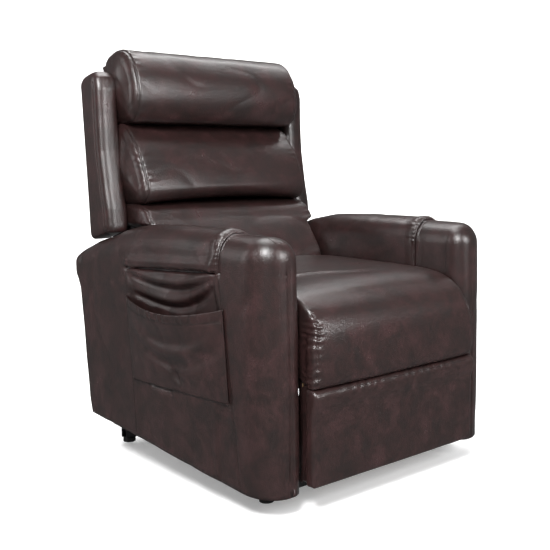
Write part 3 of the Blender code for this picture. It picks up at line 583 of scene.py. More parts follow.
def swell(lows, rise, forward):
    """A bulge for loft_x: the cushion's lower edge arches up and its face comes forward in the middle."""
    def change(ring, u):
        ring = ring.copy()
        y, z = ring.T
        ring[:, 1] += rise * soften(lows[0] - z, 0.0, 0.05) * (1 - u * u)
        ring[:, 0] -= forward * (1 - u ** 4) * soften(lows[1] - y, 0.0, 0.05)
        return ring
    return change


class RECLINER_OT_back_cushions(bpy.types.Operator):
    """Build the head, middle and lumbar cushions with their end panels and seams"""
    bl_idname = "recliner.back_cushions"
    bl_label = "Back cushions"

    def execute(self, context):
        top = HEAD_HIGH.z
        head = [(0.352, 0.869), (0.300, 0.863), (0.262, 0.869), (0.241, 0.905), (0.238, 0.950),
                (0.252, 1.000), (0.285, top - 0.012), (0.330, top + 0.002), (0.378, top - 0.010),
                (0.402, top - 0.040), (0.400, 0.990), (0.362, 0.984)]
        middle = [(0.335, 0.650), (0.270, 0.646), (0.220, 0.654), (0.203, 0.680), (0.212, 0.722),
                  (0.240, 0.780), (0.274, 0.825), (0.303, 0.853), (0.346, 0.858), (0.340, 0.760)]
        lumbar = [(0.320, 0.440), (0.200, 0.437), (0.140, 0.441), (0.108, 0.462), (0.108, 0.500),
                  (0.138, 0.550), (0.180, 0.605), (0.222, 0.643), (0.330, 0.644), (0.326, 0.540)]
        shoulder = HEAD_HIGH.x / LUMBAR_HIGH.x - 1
        above_arms = (0.584, 0.600)
        # name, outline, half width, rounding of the ends, their bulge, swelling of the face, fill
        pieces = (("head", head, HEAD_HIGH.x, 0.026, 0.016, swell((0.0, 0.32), 0.0, 0.007), 0.95),
                  ("middle", middle, MIDDLE_HIGH.x, 0.024, 0.016, swell((0.71, 0.30), 0.014, 0.009), 0.85),
                  ("lumbar", lumbar, LUMBAR_HIGH.x, 0.016, 0.004, swell((0.0, 0.30), 0.0, 0.006), 0.8))
        for seed, (part, outline, half, edge, bulging, shape, fill) in enumerate(pieces):
            name, node = f"{part}_roll", f"{part}_cushion"
            made = loft_x(name, outline, half - 0.002, edge, bulge=shape, cap_bulge=bulging)
            refine(made)
            if part == "lumbar":     # wider where it stands above the arms
                points = coords(made)
                points[:, 0] *= 1 + shoulder * soften(points[:, 2], *above_arms)
                set_coords(made, points)
            creases(made, sizes().crease * 0.8, 0.10, seed + 11, (0.55, 1, 1))
            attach(made, "backrest")
            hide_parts(node)
            for side, sign in SIDES:
                across = half - edge + 0.006
                path = end_seam(made, outline, sign * across)
                if part == "lumbar":
                    path = [(x * (1 + shoulder * float(soften(z, *above_arms))), y, z) for x, y, z in path]
                pucker(made, path, 0.0010, 0.023, 0.020, seed + 1)
                seam(f"{name}_seam_{side}", made, path, "backrest", 0.0030, 0.0028)
        return {"FINISHED"}


class RECLINER_OT_wings(bpy.types.Operator):
    """Build the two side wings of the back, each with a soft round front between two seams"""
    bl_idname = "recliner.wings"
    bl_label = "Wings"

    def execute(self, context):
        low, top = WING_FRONT[0][0], WING_FRONT[-1][0]
        heights, places = [p[0] for p in WING_FRONT], [p[1] for p in WING_FRONT]
        half = (WING_HIGH.x - WING_LOW.x) / 2
        middle = (WING_HIGH.x + WING_LOW.x) / 2
        crown, foot = 0.040, 0.018       # radii of the rounded top and bottom
        stations = [*(low + foot * (1 - np.cos(np.linspace(0.15, 1.57, 8)))),
                    *np.linspace(low + 0.022, 0.955, 70),
                    *(top - crown + crown * np.sin(np.linspace(0.10, 1.45, 16)))]
        for side, sign in SIDES:
            rings = []
            for z in stations:
                tight = 1 - math.sqrt(max(0.0, 1 - max(0.0, (z - top + crown) / crown) ** 2))
                below = 1 - math.sqrt(max(0.0, 1 - max(0.0, (low + foot - z) / foot) ** 2))
                width = half - 0.016 * tight - 0.010 * below
                front = float(np.interp(z, heights, places)) + 0.012 * tight + 0.010 * below
                rear = back_plane(z) - 0.0125 - 0.010 * tight - 0.004 * below
                # A flat outer side, a soft round front with its seam at the outer corner, and a flat rear.
                outline = [(middle + width * math.copysign(abs(math.cos(t)) ** 0.72, math.cos(t)),
                            front + 0.030 - 0.030 * math.sin(t) ** 0.72) for t in np.linspace(0, math.pi, 61)]
                outline += [(middle - width, y) for y in np.linspace(front + 0.034, rear - 0.008, 30)]
                outline += [(middle - width + 0.006, rear - 0.001), (middle - width + 0.012, rear)]
                outline += [(middle + width - 0.012, rear), (middle + width - 0.006, rear - 0.001)]
                outline += [(middle + width, y) for y in np.linspace(rear - 0.008, front + 0.034, 30)]
                loop = np.array(outline)
                away = np.clip((loop[:, 1] - 0.29) / 0.11, 0, 1)
                shift = -away * (0.026 * soften(z, 0.93, top) + 0.035 * soften(low + 0.09 - z, 0.0, 0.09))
                rings.append(np.column_stack([sign * loop[:, 0], loop[:, 1], z + shift]))
            made = skin(f"wing_{side}", rings, "leather", cap_steps=(0.9, 0.7, 0.4, 0.15), cap_bulge=0.002)
            refine(made)
            creases(made, 0.0004, 0.15, 21 + sign, (1.2, 1.2, 0.6))
            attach(made, "backrest")
            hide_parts(f"back_wing_{side}")
            for name, x, behind in (("outer", WING_HIGH.x, 0.020), ("inner", WING_LOW.x, 0.024)):
                path = [(sign * x, float(np.interp(z, heights, places)) + behind, z)
                        for z in np.linspace(low + 0.012, top - 0.042, 70)]
                seam(f"wing_seam_{name}_{side}", made, [tuple(p) for p, _ in laid_on(made, path)], "backrest",
                     0.0024, 0.0026)
            # Painted shade: a leather sheet closes the slit between the wing's bottom and the arm, so that the
            # slit shows dark like the shadow in it.
            strip = [(sign * 0.296, y, z) for y, z in ((0.278, 0.578), (0.315, 0.568), (0.352, 0.557))]
            cloth_strip(f"wing_gap_shade_sheet_{side}", strip, (0.0, 0.0, 0.016), "backrest")
        return {"FINISHED"}


def cloth_strip(name, path, drop, body, thick=0.0012):
    """A narrow strip that spans from a path: a binding over an edge, or a sheet that closes a gap to stand in
    for the shade in it (painted shade).
    """
    path, drop = np.array(path), np.array(drop)
    across = np.cross(path[-1] - path[0], drop)
    across *= thick / np.linalg.norm(across)
    path = smooth_loop([tuple(p) for p in path], 20, closed=False)
    rings = [[p, p + drop, p + drop + across, p + across] for p in np.array(path)]
    made = skin(name, rings, "leather", body, cap_steps=(0.5,))
    return made


class RECLINER_OT_back_cover(bpy.types.Operator):
    """Build the leather panel behind the back, with its two stitched seams"""
    bl_idname = "recliner.back_cover"
    bl_label = "Back cover"

    def execute(self, context):
        wide, narrow = PANEL_HIGH.x, SEAT_HIGH.x      # narrow where it passes between the arms
        bend, low, high = 0.575, PANEL_LOW.z, PANEL_HIGH.z
        thick = 0.0115
        xs = np.linspace(-1, 1, 40)
        puff = 0.004 * (1 - xs ** 8)
        rings = []
        for z in [*np.linspace(low, bend - 0.004, 16), *np.linspace(bend + 0.004, high, 30)]:
            half = narrow if z < bend else wide
            outer = [(half * x, back_plane(z) + p - 0.004, z) for x, p in zip(xs, puff)]
            inner = [(half * x, back_plane(z) - thick, z) for x in xs[::-1]]
            rings.append(outer + inner)
        made = skin("back_cover", rings, "leather")
        points = coords(made)
        points[:, 2] -= 0.034 * soften(np.abs(points[:, 0]), 0.27, 0.335) * soften(points[:, 2], 0.90, high)
        set_coords(made, points)
        refine(made)
        creases(made, 0.0010, 0.14, 31, (1, 1, 0.6))
        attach(made, "backrest")
        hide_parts("back_panel")
        for side, sign in SIDES:
            ends = [(sign * 0.19, back_plane(z), z) for z in (low + 0.004, high - 0.004)]
            seam(f"back_cover_seam_{side}", made, ends, "backrest", 0.0024, 0.0030)
            for name, offset in (("in", -0.006), ("out", 0.006)):
                path = [(x + sign * offset, y, z) for x, y, z in ends]
                stitching(f"back_cover_stitches_{name}_{side}", made, path, "backrest")
        return {"FINISHED"}


# ---- seat and footrest ---------------------------------------------------------------------------
def flare_ends(made, half):
    """The covers spread a little in front of the arms' rounded posts."""
    points = coords(made)
    x, y, z = points.T
    ahead = soften(-y, 0.386, 0.398) * soften(0.412 - z, 0.0, 0.05)
    points[:, 0] += np.sign(x) * 0.013 * soften(np.abs(x), half - 0.10, half - 0.004) * ahead
    set_coords(made, points)


class RECLINER_OT_seat(bpy.types.Operator):
    """Build the seat with the calf pad it runs into"""
    bl_idname = "recliner.seat"
    bl_label = "Seat"

    def execute(self, context):
        front, rear = CALF_LOW.y - 0.004, SEAT_HIGH.y
        low, top = CALF_LOW.z - 0.002, SEAT_HIGH.z
        outline = [(rear, SEAT_LOW.z), (rear + 0.001, 0.435), (rear - 0.006, top - 0.004),
                   (rear - 0.060, top + 0.001), (rear - 0.160, top), (-0.190, top - 0.002),
                   (-0.290, top - 0.006), (-0.348, top - 0.019), (-0.392, top - 0.048),
                   (front + 0.004, 0.402), (front - 0.003, 0.355), (front - 0.004, 0.312),
                   (front - 0.001, low + 0.011), (front + 0.005, low + 0.003), (front + 0.016, low),
                   (CALF_HIGH.y - 0.002, low + 0.006), (CALF_HIGH.y - 0.001, 0.340), (CALF_HIGH.y, 0.400),
                   (-0.356, 0.4255), (-0.342, 0.424), (-0.338, 0.400), (-0.330, SEAT_LOW.z + 0.001),
                   (-0.150, SEAT_LOW.z)]
        half = SEAT_HIGH.x

        def crown(ring, u):
            ring = ring.copy()
            y, z = ring.T
            rise = soften(z, 0.44, 0.47) * (1 - abs(u) ** 2.6) * soften(y, -0.43, -0.30)
            ring[:, 1] += sizes().crown * rise
            ring[:, 0] -= 0.006 * (1 - u ** 6) * soften(-0.36 - y, 0.0, 0.03)
            return ring

        made = loft_x("seat_cover", outline, half, 0.010, count=190, spans=64, bulge=crown, cap_bulge=0.002)
        refine(made)
        points = coords(made)
        x, y, z = points.T
        line = y + 0.205 + 0.20 * (x + 0.20) + 0.010 * grain_noise(points, 0.08, 44)
        fold = np.exp(-(line / 0.0085) ** 2) * soften(0.04 - x, 0.0, 0.12) * soften(x, -0.25, -0.19)
        dip = np.exp(-((line + 0.024) / 0.020) ** 2) * soften(0.12 - x, 0.0, 0.16)
        push(made, soften(z, 0.455, 0.475) * (0.0026 * fold - 0.0034 * dip))
        creases(made, sizes().crease * 0.4, 0.16, 41, (0.6, 1, 1))
        points = coords(made)
        x, y, z = points.T
        edge = soften(-x, half - 0.030, half - 0.006)
        tucks = np.sin(z * 2 * math.pi / 0.017 + 4 * grain_noise(points, 0.04, 43))
        patch = np.exp(-((z - 0.395) / 0.030) ** 2) + 0.8 * np.exp(-((z - 0.300) / 0.016) ** 2) + 0.15
        push(made, 0.0024 * edge * tucks * patch * soften(-0.370 - y, 0.0, 0.02))
        for sign in (-1, 1):
            ends = [(sign * (half - 0.009), y, z) for y, z in ((-0.395, 0.432), (front + 0.002, 0.402),
                                                              (front - 0.004, 0.350), (front - 0.002, 0.285))]
            groove(made, [tuple(p) for p, _ in laid_on(made, ends)], 0.0030, 0.0032)
        flare_ends(made, half)
        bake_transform(made)
        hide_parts("seat_cushion", "calf_pad")
        return {"FINISHED"}


class RECLINER_OT_footrest_cover(bpy.types.Operator):
    """Build the lower pad of the footrest, puffed along the seam above it"""
    bl_idname = "recliner.footrest_cover"
    bl_label = "Footrest cover"

    def execute(self, context):
        front, rear = FOOT_LOW.y - 0.008, FOOT_HIGH.y
        low, top = FOOT_LOW.z, FOOT_HIGH.z + 0.0025
        outline = [(rear, low + 0.006), (rear - 0.004, low + 0.001), (front + 0.018, low),
                   (front + 0.005, low + 0.006), (front + 0.004, low + 0.060), (front + 0.004, low + 0.150),
                   (front - 0.002, top - 0.034), (front - 0.004, top - 0.016), (front + 0.002, top - 0.004),
                   (front + 0.016, top), (rear - 0.002, top - 0.004), (rear, low + 0.110)]
        half = FOOT_HIGH.x
        made = loft_x("footrest_cover", outline, half, 0.009, count=150, spans=64, cap_bulge=0.001)
        refine(made)
        points = coords(made)
        x, y, z = points.T
        tucks = np.sin(x * 2 * math.pi / 0.030 + 6 * grain_noise(points, 0.09, 53))
        push(made, 0.0005 * tucks * np.exp(-((z - top) / 0.020) ** 2) * soften(-0.385 - y, 0.0, 0.02))
        creases(made, sizes().crease * 0.3, 0.20, 51, (0.7, 1, 0.8))
        flare_ends(made, half)
        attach(made, "footrest")
        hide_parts("foot_pad")
        margin, thick = 0.001, BOARD_HIGH.y - BOARD_LOW.y
        for side, sign in SIDES:
            edge = [(sign * (BOARD_HIGH.x + 0.0006), BOARD_LOW.y + margin, z)
                    for z in np.linspace(BOARD_LOW.z + margin, BOARD_HIGH.z - margin, 12)]
            cloth_strip(f"footrest_binding_{side}", edge, (0.0, thick - margin, 0.0), "footrest")
        row = [(x, front, top - 0.009) for x in np.linspace(0.01 - half, half - 0.01, 60)]
        stitching("footrest_stitches", made, row, "footrest")
        return {"FINISHED"}


# ---- arms ----------------------------------------------------------------------------------------
ARM_SEAM_Y = -0.235                       # the gathered ring between the front post and the loose top pad
PANEL_REAR, PANEL_FRONT = 0.150, -0.226   # the side panel's two upright seams, just under the pad
PANEL_REAR_LOW, PANEL_FRONT_LOW = 0.114, -0.303      # and at the hem
CREASE_HIGH = 0.518                       # the crease under the pad, at its front end
SHOULDER_HIGH, HEM_HIGH = 0.545, 0.066    # where the arm's sides turn into its top, and where they end
TOP_RISE = 0.062                          # how far the rounded top stands above them


def crease_height(y):
    return CREASE_HIGH - 0.018 * (y - PANEL_FRONT) / (PANEL_REAR - PANEL_FRONT)


def arm_section(y):
    """Inner x, outer x, lowest z and highest z of the arm at y."""
    front = POST_LOW.y + 0.024
    t = max(0.0, y - front)

    def eased(radius):
        left = max(0.0, radius - t)
        return radius - math.sqrt(max(0.0, radius * radius - left * left))

    padded = float(soften(y, ARM_SEAM_Y - 0.002, ARM_SEAM_Y + 0.020))
    crest = np.interp(y, (-0.40, -0.31, -0.235, -0.05, 0.10, 0.20, 0.264, 0.326, 0.382, 0.402, 0.416),
                      (0.600, 0.600, 0.601, 0.602, 0.597, 0.587, 0.571, 0.556, 0.537, 0.524, 0.505))
    lowest = np.interp(y, (-0.384, 0.336, 0.347, 0.356, 0.366, 0.380, 0.392, 0.404, 0.416),
                       (0.041, 0.091, 0.130, 0.200, 0.320, 0.428, 0.452, 0.466, 0.480))
    tail = 1 - math.sqrt(max(0.0, 1 - min(1.0, max(0.0, (y - 0.392) / 0.024)) ** 2))
    inner = PAD_LOW.x + eased(0.040) + 0.010 * tail
    outer = POST_HIGH.x - eased(0.072) + 0.003 * padded - 0.014 * tail
    return (inner, outer, lowest, crest + 0.009 * padded * (1 - float(soften(y, 0.10, 0.25))) - eased(0.052))


def arm_ring(y):
    """The arm's section at y as points from its inner lower edge, over the top and down the outer side."""
    inner, outer, low, high = arm_section(y)
    half, middle = (outer - inner) / 2, (inner + outer) / 2
    rise = min(half * 1.02, (high - low) * 0.5)
    shoulder = high - rise
    points = [(inner, z) for z in np.linspace(low, shoulder, 30)[:-1]]
    for t in np.linspace(0, math.pi, 62):
        points.append((middle - half * np.sign(math.cos(t)) * abs(math.cos(t)) ** 0.86,
                       shoulder + rise * math.sin(t) ** 0.92))
    # The outer side has closer points where it is creased and draped.
    share = (shoulder - low) / (SHOULDER_HIGH - HEM_HIGH)
    down = np.concatenate([np.linspace(SHOULDER_HIGH, 0.480, 28), np.linspace(0.477, 0.300, 52),
                           np.linspace(0.29, HEM_HIGH, 24)])
    points += [(outer, low + (z - HEM_HIGH) * share) for z in down[1:]]
    points += [(x, low) for x in np.linspace(outer, inner, 9)[1:-1]]
    return np.array(points)


def arm_cover(side, sign):
    """One arm's cover, lofted from front to rear and pressed in where it is sewn."""
    front = POST_LOW.y + 0.024
    stations = [*(front + 0.072 * (1 - np.cos(np.linspace(0.10, math.pi / 2, 22)))),
                *np.linspace(front + 0.075, ARM_SEAM_Y - 0.021, 18),
                *np.linspace(ARM_SEAM_Y - 0.018, ARM_SEAM_Y + 0.044, 54),
                *np.linspace(ARM_SEAM_Y + 0.047, 0.332, 136), *np.linspace(0.336, 0.392, 20),
                *(0.392 + 0.024 * np.sin(np.linspace(0.12, math.pi / 2 - 0.04, 10)))]
    rings = []
    for y in stations:
        ring = arm_ring(y)
        away = 1 - soften(y, front, front + 0.10)
        lean = (-0.006 * np.sin(np.clip(ring[:, 1] / 0.60, 0, 1) * math.pi)
                - 0.007 * np.clip(1 - ring[:, 1] / 0.30, 0, 1)) * away
        rings.append(np.column_stack([sign * ring[:, 0], np.full(len(ring), y) + lean, ring[:, 1]]))
    made = skin(f"arm_cover_{side}", rings, "leather")
    press_ring(made, sign)
    press_crease(made, sign)
    if side == "right":
        drape_panel(made, sign)
    creases(made, 0.0012, 0.13, 61 + sign, (1, 1, 0.7))
    return made


def press_ring(made, sign):
    """The gathered ring: a deep groove, and behind it short ruffles that fan out into the pad."""
    points = coords(made)
    x, y, z = points[:, 0] * sign, points[:, 1], points[:, 2]
    outer_side = soften(x, 0.350, 0.366)
    wrap = np.where(outer_side > 0.5, soften(z, 0.505, 0.520), soften(z, 0.455, 0.470))
    around = np.arctan2(z - SHOULDER_HIGH, x - 0.322) * TOP_RISE
    tuck = np.sin(around * 2 * math.pi / sizes().gather + 2.2 * grain_noise(points, 0.03, 3))
    tuck = tuck * (1.0 if sign > 0 else 0.35)     # the right ring is gathered less
    behind = (y - ARM_SEAM_Y).clip(0)
    ruffle = soften(behind, 0.001, 0.005) * np.exp(-behind / 0.012)
    long_ruffle = soften(behind, 0.003, 0.012) * np.exp(-behind / 0.030)
    slow = grain_noise(points, 0.022, 4)
    groove_here = np.exp(-(np.abs(y - ARM_SEAM_Y) / 0.0040) ** 2)
    puff = np.exp(-((behind - 0.016) / 0.014) ** 2) * (behind > 0)
    push(made, wrap * (-0.0070 * groove_here + 0.0034 * tuck * ruffle
                       + 0.0030 * slow * long_ruffle + 0.0022 * puff))


def press_crease(made, sign):
    """The crease under the pad, where the pad bulges out over the side panel."""
    points = coords(made)
    x, y, z = points[:, 0] * sign, points[:, 1], points[:, 2]
    outer = soften(x, 0.345, 0.366)
    span = soften(y, PANEL_FRONT - 0.008, PANEL_FRONT + 0.014) * soften(PANEL_REAR + 0.010 - y, 0.0, 0.026)
    up = z - crease_height(y)
    bulge = np.exp(-((up - 0.017) / 0.013) ** 2)
    fold = np.exp(-(up / 0.0038) ** 2)
    below = soften(-up, -0.002, 0.004) * np.exp(-(-up).clip(0) / 0.030)
    push(made, outer * span * (0.0060 * bulge - 0.0125 * fold - 0.0050 * below))


def drape_panel(made, sign):
    """The slack side panel above the pocket: two swags that hang from the panel's upper corners."""
    points = coords(made)
    x, y, z = points[:, 0] * sign, points[:, 1], points[:, 2]
    outer = soften(x, 0.345, 0.366)
    fall = np.clip((0.512 - z) / 0.44, 0, 1)
    front_seam = PANEL_FRONT + (PANEL_FRONT_LOW - PANEL_FRONT) * fall
    rear_seam = PANEL_REAR + (PANEL_REAR_LOW - PANEL_REAR) * fall
    share = np.clip((y - front_seam) / (rear_seam - front_seam), 0, 1)
    span = soften(share, 0.0, 0.07) * soften(1 - share, 0.0, 0.07)
    sag = np.sin(share ** 0.9 * math.pi)
    down = crease_height(y) - z
    hollow = soften(down, 0.004, 0.075) * soften(z, 0.31, 0.37)
    amount = -0.0180 * hollow * sag ** 0.4
    for start, depth, high, wide in ((0.006, 0.034, 0.0070, 0.0110), (0.036, 0.050, 0.0080, 0.0140)):
        line = start * (0.4 + share) + depth * sag
        ridge = np.exp(-((down - line + 0.010) / wide) ** 2)
        valley = np.exp(-((down - line - 0.006) / (0.6 * wide)) ** 2)
        amount = amount + high * (ridge - 0.9 * valley) * (0.35 + 0.65 * sag)
    knot = np.hypot(y - (PANEL_REAR - 0.012), z - crease_height(y) + 0.012)
    spread = np.arctan2(z - crease_height(y) + 0.004, PANEL_REAR + 0.004 - y)
    amount = amount + 0.0026 * np.sin(spread * 9) * soften(knot, 0.004, 0.012) * np.exp(-knot / 0.022)
    push(made, outer * span * amount)
    # The panel gives way behind the handset, which stands in the pocket.
    points = coords(made)
    x, y, z = points.T
    behind = (soften(y, HANDSET_LOW.y - 0.030, HANDSET_LOW.y - 0.008)
              * soften(HANDSET_HIGH.y + 0.030 - y, 0.0, 0.022)
              * soften(z, HANDSET_LOW.z - 0.030, HANDSET_LOW.z - 0.008)
              * soften(HANDSET_HIGH.z + 0.022 - z, 0.0, 0.016)
              * soften(x * sign, 0.33, 0.35))
    limit = -(abs(HANDSET_HIGH.x) - 0.0045)
    points[:, 0] = np.where(x < limit, x + (limit - x) * behind, x)
    set_coords(made, points)


def over_arm(made, sign, y, low_inner, low_outer):
    """A path on the arm's surface over its top at y, from inside to outside."""
    inner, outer = 0.266, 0.379
    middle, half = 0.3225, 0.0565
    around = [(inner, low_inner + (SHOULDER_HIGH - low_inner) * k / 12) for k in range(12)]
    around += [(middle - half * math.cos(t), SHOULDER_HIGH + TOP_RISE * math.sin(t))
               for t in np.linspace(0, math.pi, 60)]
    around += [(outer, SHOULDER_HIGH - (SHOULDER_HIGH - low_outer) * k / 8) for k in range(1, 9)]
    return [place for place, _ in laid_on(made, [(sign * x, y, z) for x, z in around])]


class RECLINER_OT_arms(bpy.types.Operator):
    """Build both arms: rounded front post, gathered ring seam, loose top pad and side panels"""
    bl_idname = "recliner.arms"
    bl_label = "Arms"

    def execute(self, context):
        for side, sign in SIDES:
            made = arm_cover(side, sign)
            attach(made, "carriage")
            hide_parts(f"arm_pad_{side}", f"arm_front_pad_{side}", f"arm_outer_panel_{side}",
                        f"arm_inner_panel_{side}")
            for name, offset in (("front", -0.0048), ("rear", 0.0006)):
                path = over_arm(made, sign, ARM_SEAM_Y + offset, 0.480, 0.519)
                tube(f"arm_welt_{name}_{side}", path, sizes().welt, "leather", "carriage")
            for name, y_top, y_low, z_low in (("rear", PANEL_REAR, PANEL_REAR_LOW, 0.083),
                                              ("front", PANEL_FRONT - 0.004, PANEL_FRONT_LOW, 0.052)):
                path = [(sign * 0.379, y_top + (y_low - y_top) * t, 0.512 + (z_low - 0.512) * t)
                        for t in np.linspace(0, 1, 24)]
                seam(f"arm_panel_seam_{name}_{side}", made, path, "carriage")
            # Painted shade: a leather sheet inside the post closes the gap between the post and the footrest,
            # so that the gap shows dark like the deep shadow in it.
            gap_shade_path = [(sign * 0.2660, -0.322, z) for z in np.linspace(0.125, 0.395, 12)]
            cloth_strip(f"arm_gap_shade_sheet_{side}", gap_shade_path, (-sign * 0.022, 0.0, 0.0), "carriage")
            top = [(sign * 0.331, y, 0.60) for y in np.linspace(-0.376, -0.244, 50)]
            stitching(f"arm_top_stitches_{side}", made, top, "carriage")
            inner = [(sign * 0.262, -0.335, z) for z in np.linspace(0.20, 0.580, 40)]
            seam(f"arm_post_seam_{side}", made, [tuple(p) for p, _ in laid_on(made, inner)], "carriage")
        return {"FINISHED"}


POUCH_MOUTH, POUCH_FLOOR = (0.147, -0.250), (0.122, -0.268)    # y of the rear and front corners
POUCH_BACK = -0.3838                      # x of the pouch where it lies flat on the side panel


def pocket_point(u, v):
    """A point of the pouch's outer face: u runs from its rear to its front edge, v from mouth to floor."""
    y_high, y_low = (rear + (front - rear) * u for rear, front in (POUCH_MOUTH, POUCH_FLOOR))
    sag = math.sin(math.pi * u)
    mouth, floor_z = 0.430 + 0.012 * u - 0.026 * sag ** 0.9, 0.222 + 0.013 * u
    body = (1 - abs(2 * u - 1) ** 3.0) * (0.45 + 0.55 * math.sin(math.pi * min(1.0, 0.20 + 0.80 * v)))
    gape = 0.018 * sag ** 0.8 * (1 - float(soften(v, 0.0, 0.40)))
    band = 1 - float(soften(v, 0.085, 0.125))
    slow = noise.noise(Vector((u * 9.0, 3.1, 0.0)))
    gathers = 0.0020 * band * math.sin(u * 2 * math.pi * 13 + 6 * slow) * max(0.0, 0.4 + slow) * sag ** 0.4
    fold = 0.24 + 0.26 * sag
    swag = sag * (0.0060 * math.exp(-((v - fold) / 0.09) ** 2)
                  - 0.0062 * math.exp(-((v - fold - 0.15) / 0.08) ** 2))
    dimple = -0.0075 * math.exp(-(((u - 0.52 - 0.25 * (v - 0.8)) / 0.035) ** 2 + ((v - 0.80) / 0.09) ** 2))
    proud = 0.0005 + 0.0125 * body * (1 - 0.85 * v ** 5) + gape + gathers + swag + dimple
    return (POUCH_BACK - max(0.0004, proud), y_high + (y_low - y_high) * v, mouth + (floor_z - mouth) * v)


class RECLINER_OT_pocket(bpy.types.Operator):
    """Build the side pocket: a sagging leather pouch with an elastic, gathered mouth"""
    bl_idname = "recliner.pocket"
    bl_label = "Side pocket"

    def execute(self, context):
        columns, rows, thick = 130, 76, 0.0022
        grid = [(c / (columns - 1), r / (rows - 1)) for r in range(rows) for c in range(columns)]
        outer = [pocket_point(u, v) for u, v in grid]
        points = outer + [(x + thick * 0.98, y, z) for x, y, z in outer]
        size = columns * rows
        faces = []
        for r in range(rows - 1):
            for c in range(columns - 1):
                a = r * columns + c
                faces.append((a, a + 1, a + columns + 1, a + columns))
                faces.append((size + a, size + a + columns, size + a + columns + 1, size + a + 1))
        rim = [*range(columns), *[r * columns + columns - 1 for r in range(1, rows)],
               *[(rows - 1) * columns + c for c in range(columns - 2, -1, -1)],
               *[r * columns for r in range(rows - 2, 0, -1)]]
        for a, b in zip(rim, rim[1:] + rim[:1]):
            faces.append((a, size + a, size + b, b))
        made = mesh_object("pocket_pouch", points, faces, "leather")
        creases(made, 0.0006, 0.09, 71, (1, 1, 0.6))
        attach(made, "carriage")
        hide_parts("side_pocket")
        line = [pocket_point(u, 0.115) for u in np.linspace(0.02, 0.98, 90)]
        seam("pocket_mouth_seam", made, line, "carriage", 0.0012, 0.0020)
        floor_line = [pocket_point(u, 1.0) for u in np.linspace(0.0, 1.0, 60)]
        floor_line = [(-0.3845, y, z - 0.0006) for _, y, z in floor_line]
        tube("pocket_floor_seam", floor_line, 0.0011, "thread", "carriage")
        return {"FINISHED"}


class RECLINER_OT_rear_cloth(bpy.types.Operator):
    """Build the dust cloth behind the seat and the flap that joins it to the back"""
    bl_idname = "recliner.rear_cloth"
    bl_label = "Rear cloth"

    def execute(self, context):
        half = SKIRT_HIGH.x - 0.002
        rings = []
        for z in np.linspace(SKIRT_LOW.z, SKIRT_HIGH.z, 24):
            xs = np.linspace(-half, half, 50)
            wave = [0.0012 * math.sin(x * 40 + z * 12) for x in xs]
            outer = [(x, SKIRT_HIGH.y - 0.001 + w, z) for x, w in zip(xs, wave)]
            inner = [(x, SKIRT_LOW.y + 0.004 + w, z) for x, w in zip(xs[::-1], wave[::-1])]
            rings.append(outer + inner)
        made = skin("rear_cloth", rings, "dust_cloth", "carriage")
        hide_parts("rear_skirt")
        half = min(half, 0.235)
        start, end = (SKIRT_HIGH.y - 0.006, SKIRT_HIGH.z - 0.010), (PANEL_LOW.y + 0.004, PANEL_LOW.z + 0.012)
        rings = []
        for t in np.linspace(0, 1, 30):
            y = start[0] + (end[0] - start[0]) * t - 0.010 * math.sin(math.pi * t)
            z = start[1] + (end[1] - start[1]) * t
            xs = np.linspace(-half, half, 60)
            rings.append([(x, y, z) for x in xs] + [(x, y - 0.0012, z) for x in xs[::-1]])
        made = skin("bridge_cloth", rings, "dust_cloth")
        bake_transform(made)
        return {"FINISHED"}


class RECLINER_OT_frame_finishes(bpy.types.Operator):
    """Give every frame part that still shows its own finish"""
    bl_idname = "recliner.frame_finishes"
    bl_label = "Frame finishes"

    def execute(self, context):
        slots = {row["node"]: row["material_slot"] for row in frame["record"]["subparts"]}
        for name, node in frame["nodes"].items():
            node.data.materials.clear()
            node.data.materials.append(material(slots[name]))
        return {"FINISHED"}


# ---- studio --------------------------------------------------------------------------------------
def softbox(name, place, target, size, power, colour=(1.0, 1.0, 1.0)):
    light = bpy.data.lights.new(name, "AREA")
    light.shape = "RECTANGLE"
    light.size, light.size_y = size
    light.energy = power
    light.color = colour
    made = bpy.data.objects.new(name, light)
    made.location = place
    made.rotation_euler = (Vector(target) - Vector(place)).to_track_quat("-Z", "Y").to_euler()
    bpy.context.scene.collection.objects.link(made)
    return made


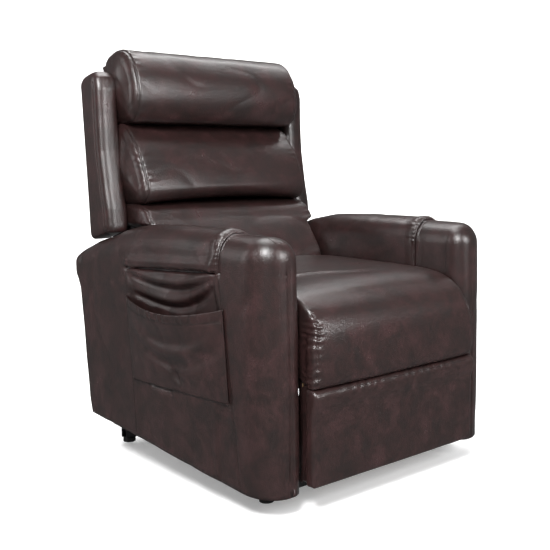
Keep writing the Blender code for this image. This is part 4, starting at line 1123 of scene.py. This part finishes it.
class RECLINER_OT_studio(bpy.types.Operator):
    """Set the floor, the soft lights and the camera"""
    bl_idname = "recliner.studio"
    bl_label = "Studio"

    def execute(self, context):
        settings = context.scene.studio_settings
        profile = [(-5.0, 0.0), (2.2, 0.0), (2.8, 0.10), (3.2, 0.5), (3.35, 1.2), (3.4, 4.5)]
        loop = smooth_loop(profile, 60, closed=False)
        turn = Euler((0, 0, -settings.camera_yaw)).to_matrix()
        points = [turn @ Vector((x, y, z)) for x in (-6.0, 6.0) for y, z in loop]
        count = len(loop)
        faces = [(i, i + 1, count + i + 1, count + i) for i in range(count - 1)]
        floor = mesh_object("studio_floor", points, faces, "leather")
        floor.data.materials.clear()
        floor.data.materials.append(studio_paper("studio_paper", context.scene.chair_colours.floor))
        floor.visible_glossy = False      # the leather mirrors the lamps, not the paper
        world = bpy.data.worlds.new("studio")
        world.use_nodes = True
        world.node_tree.nodes["Background"].inputs["Color"].default_value = (1.0, 1.0, 1.0, 1.0)
        world.node_tree.nodes["Background"].inputs["Strength"].default_value = 0.16
        context.scene.world = world
        aim = (0.0, 0.0, 0.5)
        softbox("key", (-1.75, -1.45, 2.1), aim, (0.7, 0.7), settings.key * 1.6)
        softbox("front_fill", (0.55, -2.6, 1.6), aim, (0.6, 0.9), settings.key * 0.85)
        softbox("top", (0.1, 0.3, 2.9), aim, (1.4, 1.4), settings.key * 0.55)
        softbox("rear_left", (-2.4, 1.6, 1.5), aim, (0.6, 1.6), settings.key * 0.22)
        softbox("backdrop_light", (1.4, 1.2, 3.2), (2.6, 3.0, 0.6), (3.0, 1.5), settings.key * 2.4)
        camera = bpy.data.cameras.new("camera")
        camera.sensor_width = 36.0
        camera.lens = settings.focal
        camera.clip_start = 0.05
        seen = bpy.data.objects.new("camera", camera)
        seen.location = settings.camera_place
        yaw, pitch, roll = settings.camera_yaw, settings.camera_pitch, settings.camera_roll
        forward = Vector((math.sin(yaw) * math.cos(pitch), math.cos(yaw) * math.cos(pitch), -math.sin(pitch)))
        right = Vector((math.cos(yaw), -math.sin(yaw), 0.0))
        up = right.cross(forward)
        right, up = right * math.cos(roll) + up * math.sin(roll), up * math.cos(roll) - right * math.sin(roll)
        seen.rotation_euler = Matrix([(right[k], up[k], -forward[k]) for k in range(3)]).to_euler()
        context.scene.collection.objects.link(seen)
        context.scene.camera = seen
        context.scene.view_settings.view_transform = "Standard"
        return {"FINISHED"}


class RECLINER_PT_panel(bpy.types.Panel):
    """Lists the chair's settings and its build steps"""
    bl_label = "Lift recliner"
    bl_idname = "RECLINER_PT_panel"
    bl_space_type = "VIEW_3D"
    bl_region_type = "UI"
    bl_category = "Recliner"

    def draw(self, context):
        for group in (context.scene.chair_sizes, context.scene.chair_colours, context.scene.studio_settings):
            for name in group.bl_rna.properties.keys():
                if name not in ("rna_type", "name"):
                    self.layout.prop(group, name)
        for step in STEPS:
            self.layout.operator(step.bl_idname)


STEPS = (RECLINER_OT_frame_finishes, RECLINER_OT_back_cushions, RECLINER_OT_wings, RECLINER_OT_back_cover,
         RECLINER_OT_seat, RECLINER_OT_footrest_cover, RECLINER_OT_arms, RECLINER_OT_pocket,
         RECLINER_OT_rear_cloth, RECLINER_OT_studio)
GROUPS = {"chair_sizes": ChairSizes, "chair_colours": ChairColours, "studio_settings": StudioSettings}


def register():
    for group in GROUPS.values():
        bpy.utils.register_class(group)
    for name, group in GROUPS.items():
        setattr(bpy.types.Scene, name, PointerProperty(type=group))
    for step in (*STEPS, RECLINER_PT_panel):
        bpy.utils.register_class(step)


def unregister():
    for step in (RECLINER_PT_panel, *reversed(STEPS)):
        bpy.utils.unregister_class(step)
    for name, group in GROUPS.items():
        delattr(bpy.types.Scene, name)
        bpy.utils.unregister_class(group)


def main():
    register()
    for step in STEPS:
        area, name = step.bl_idname.split(".")
        getattr(getattr(bpy.ops, area), name)()


if __name__ == "__main__":
    main()
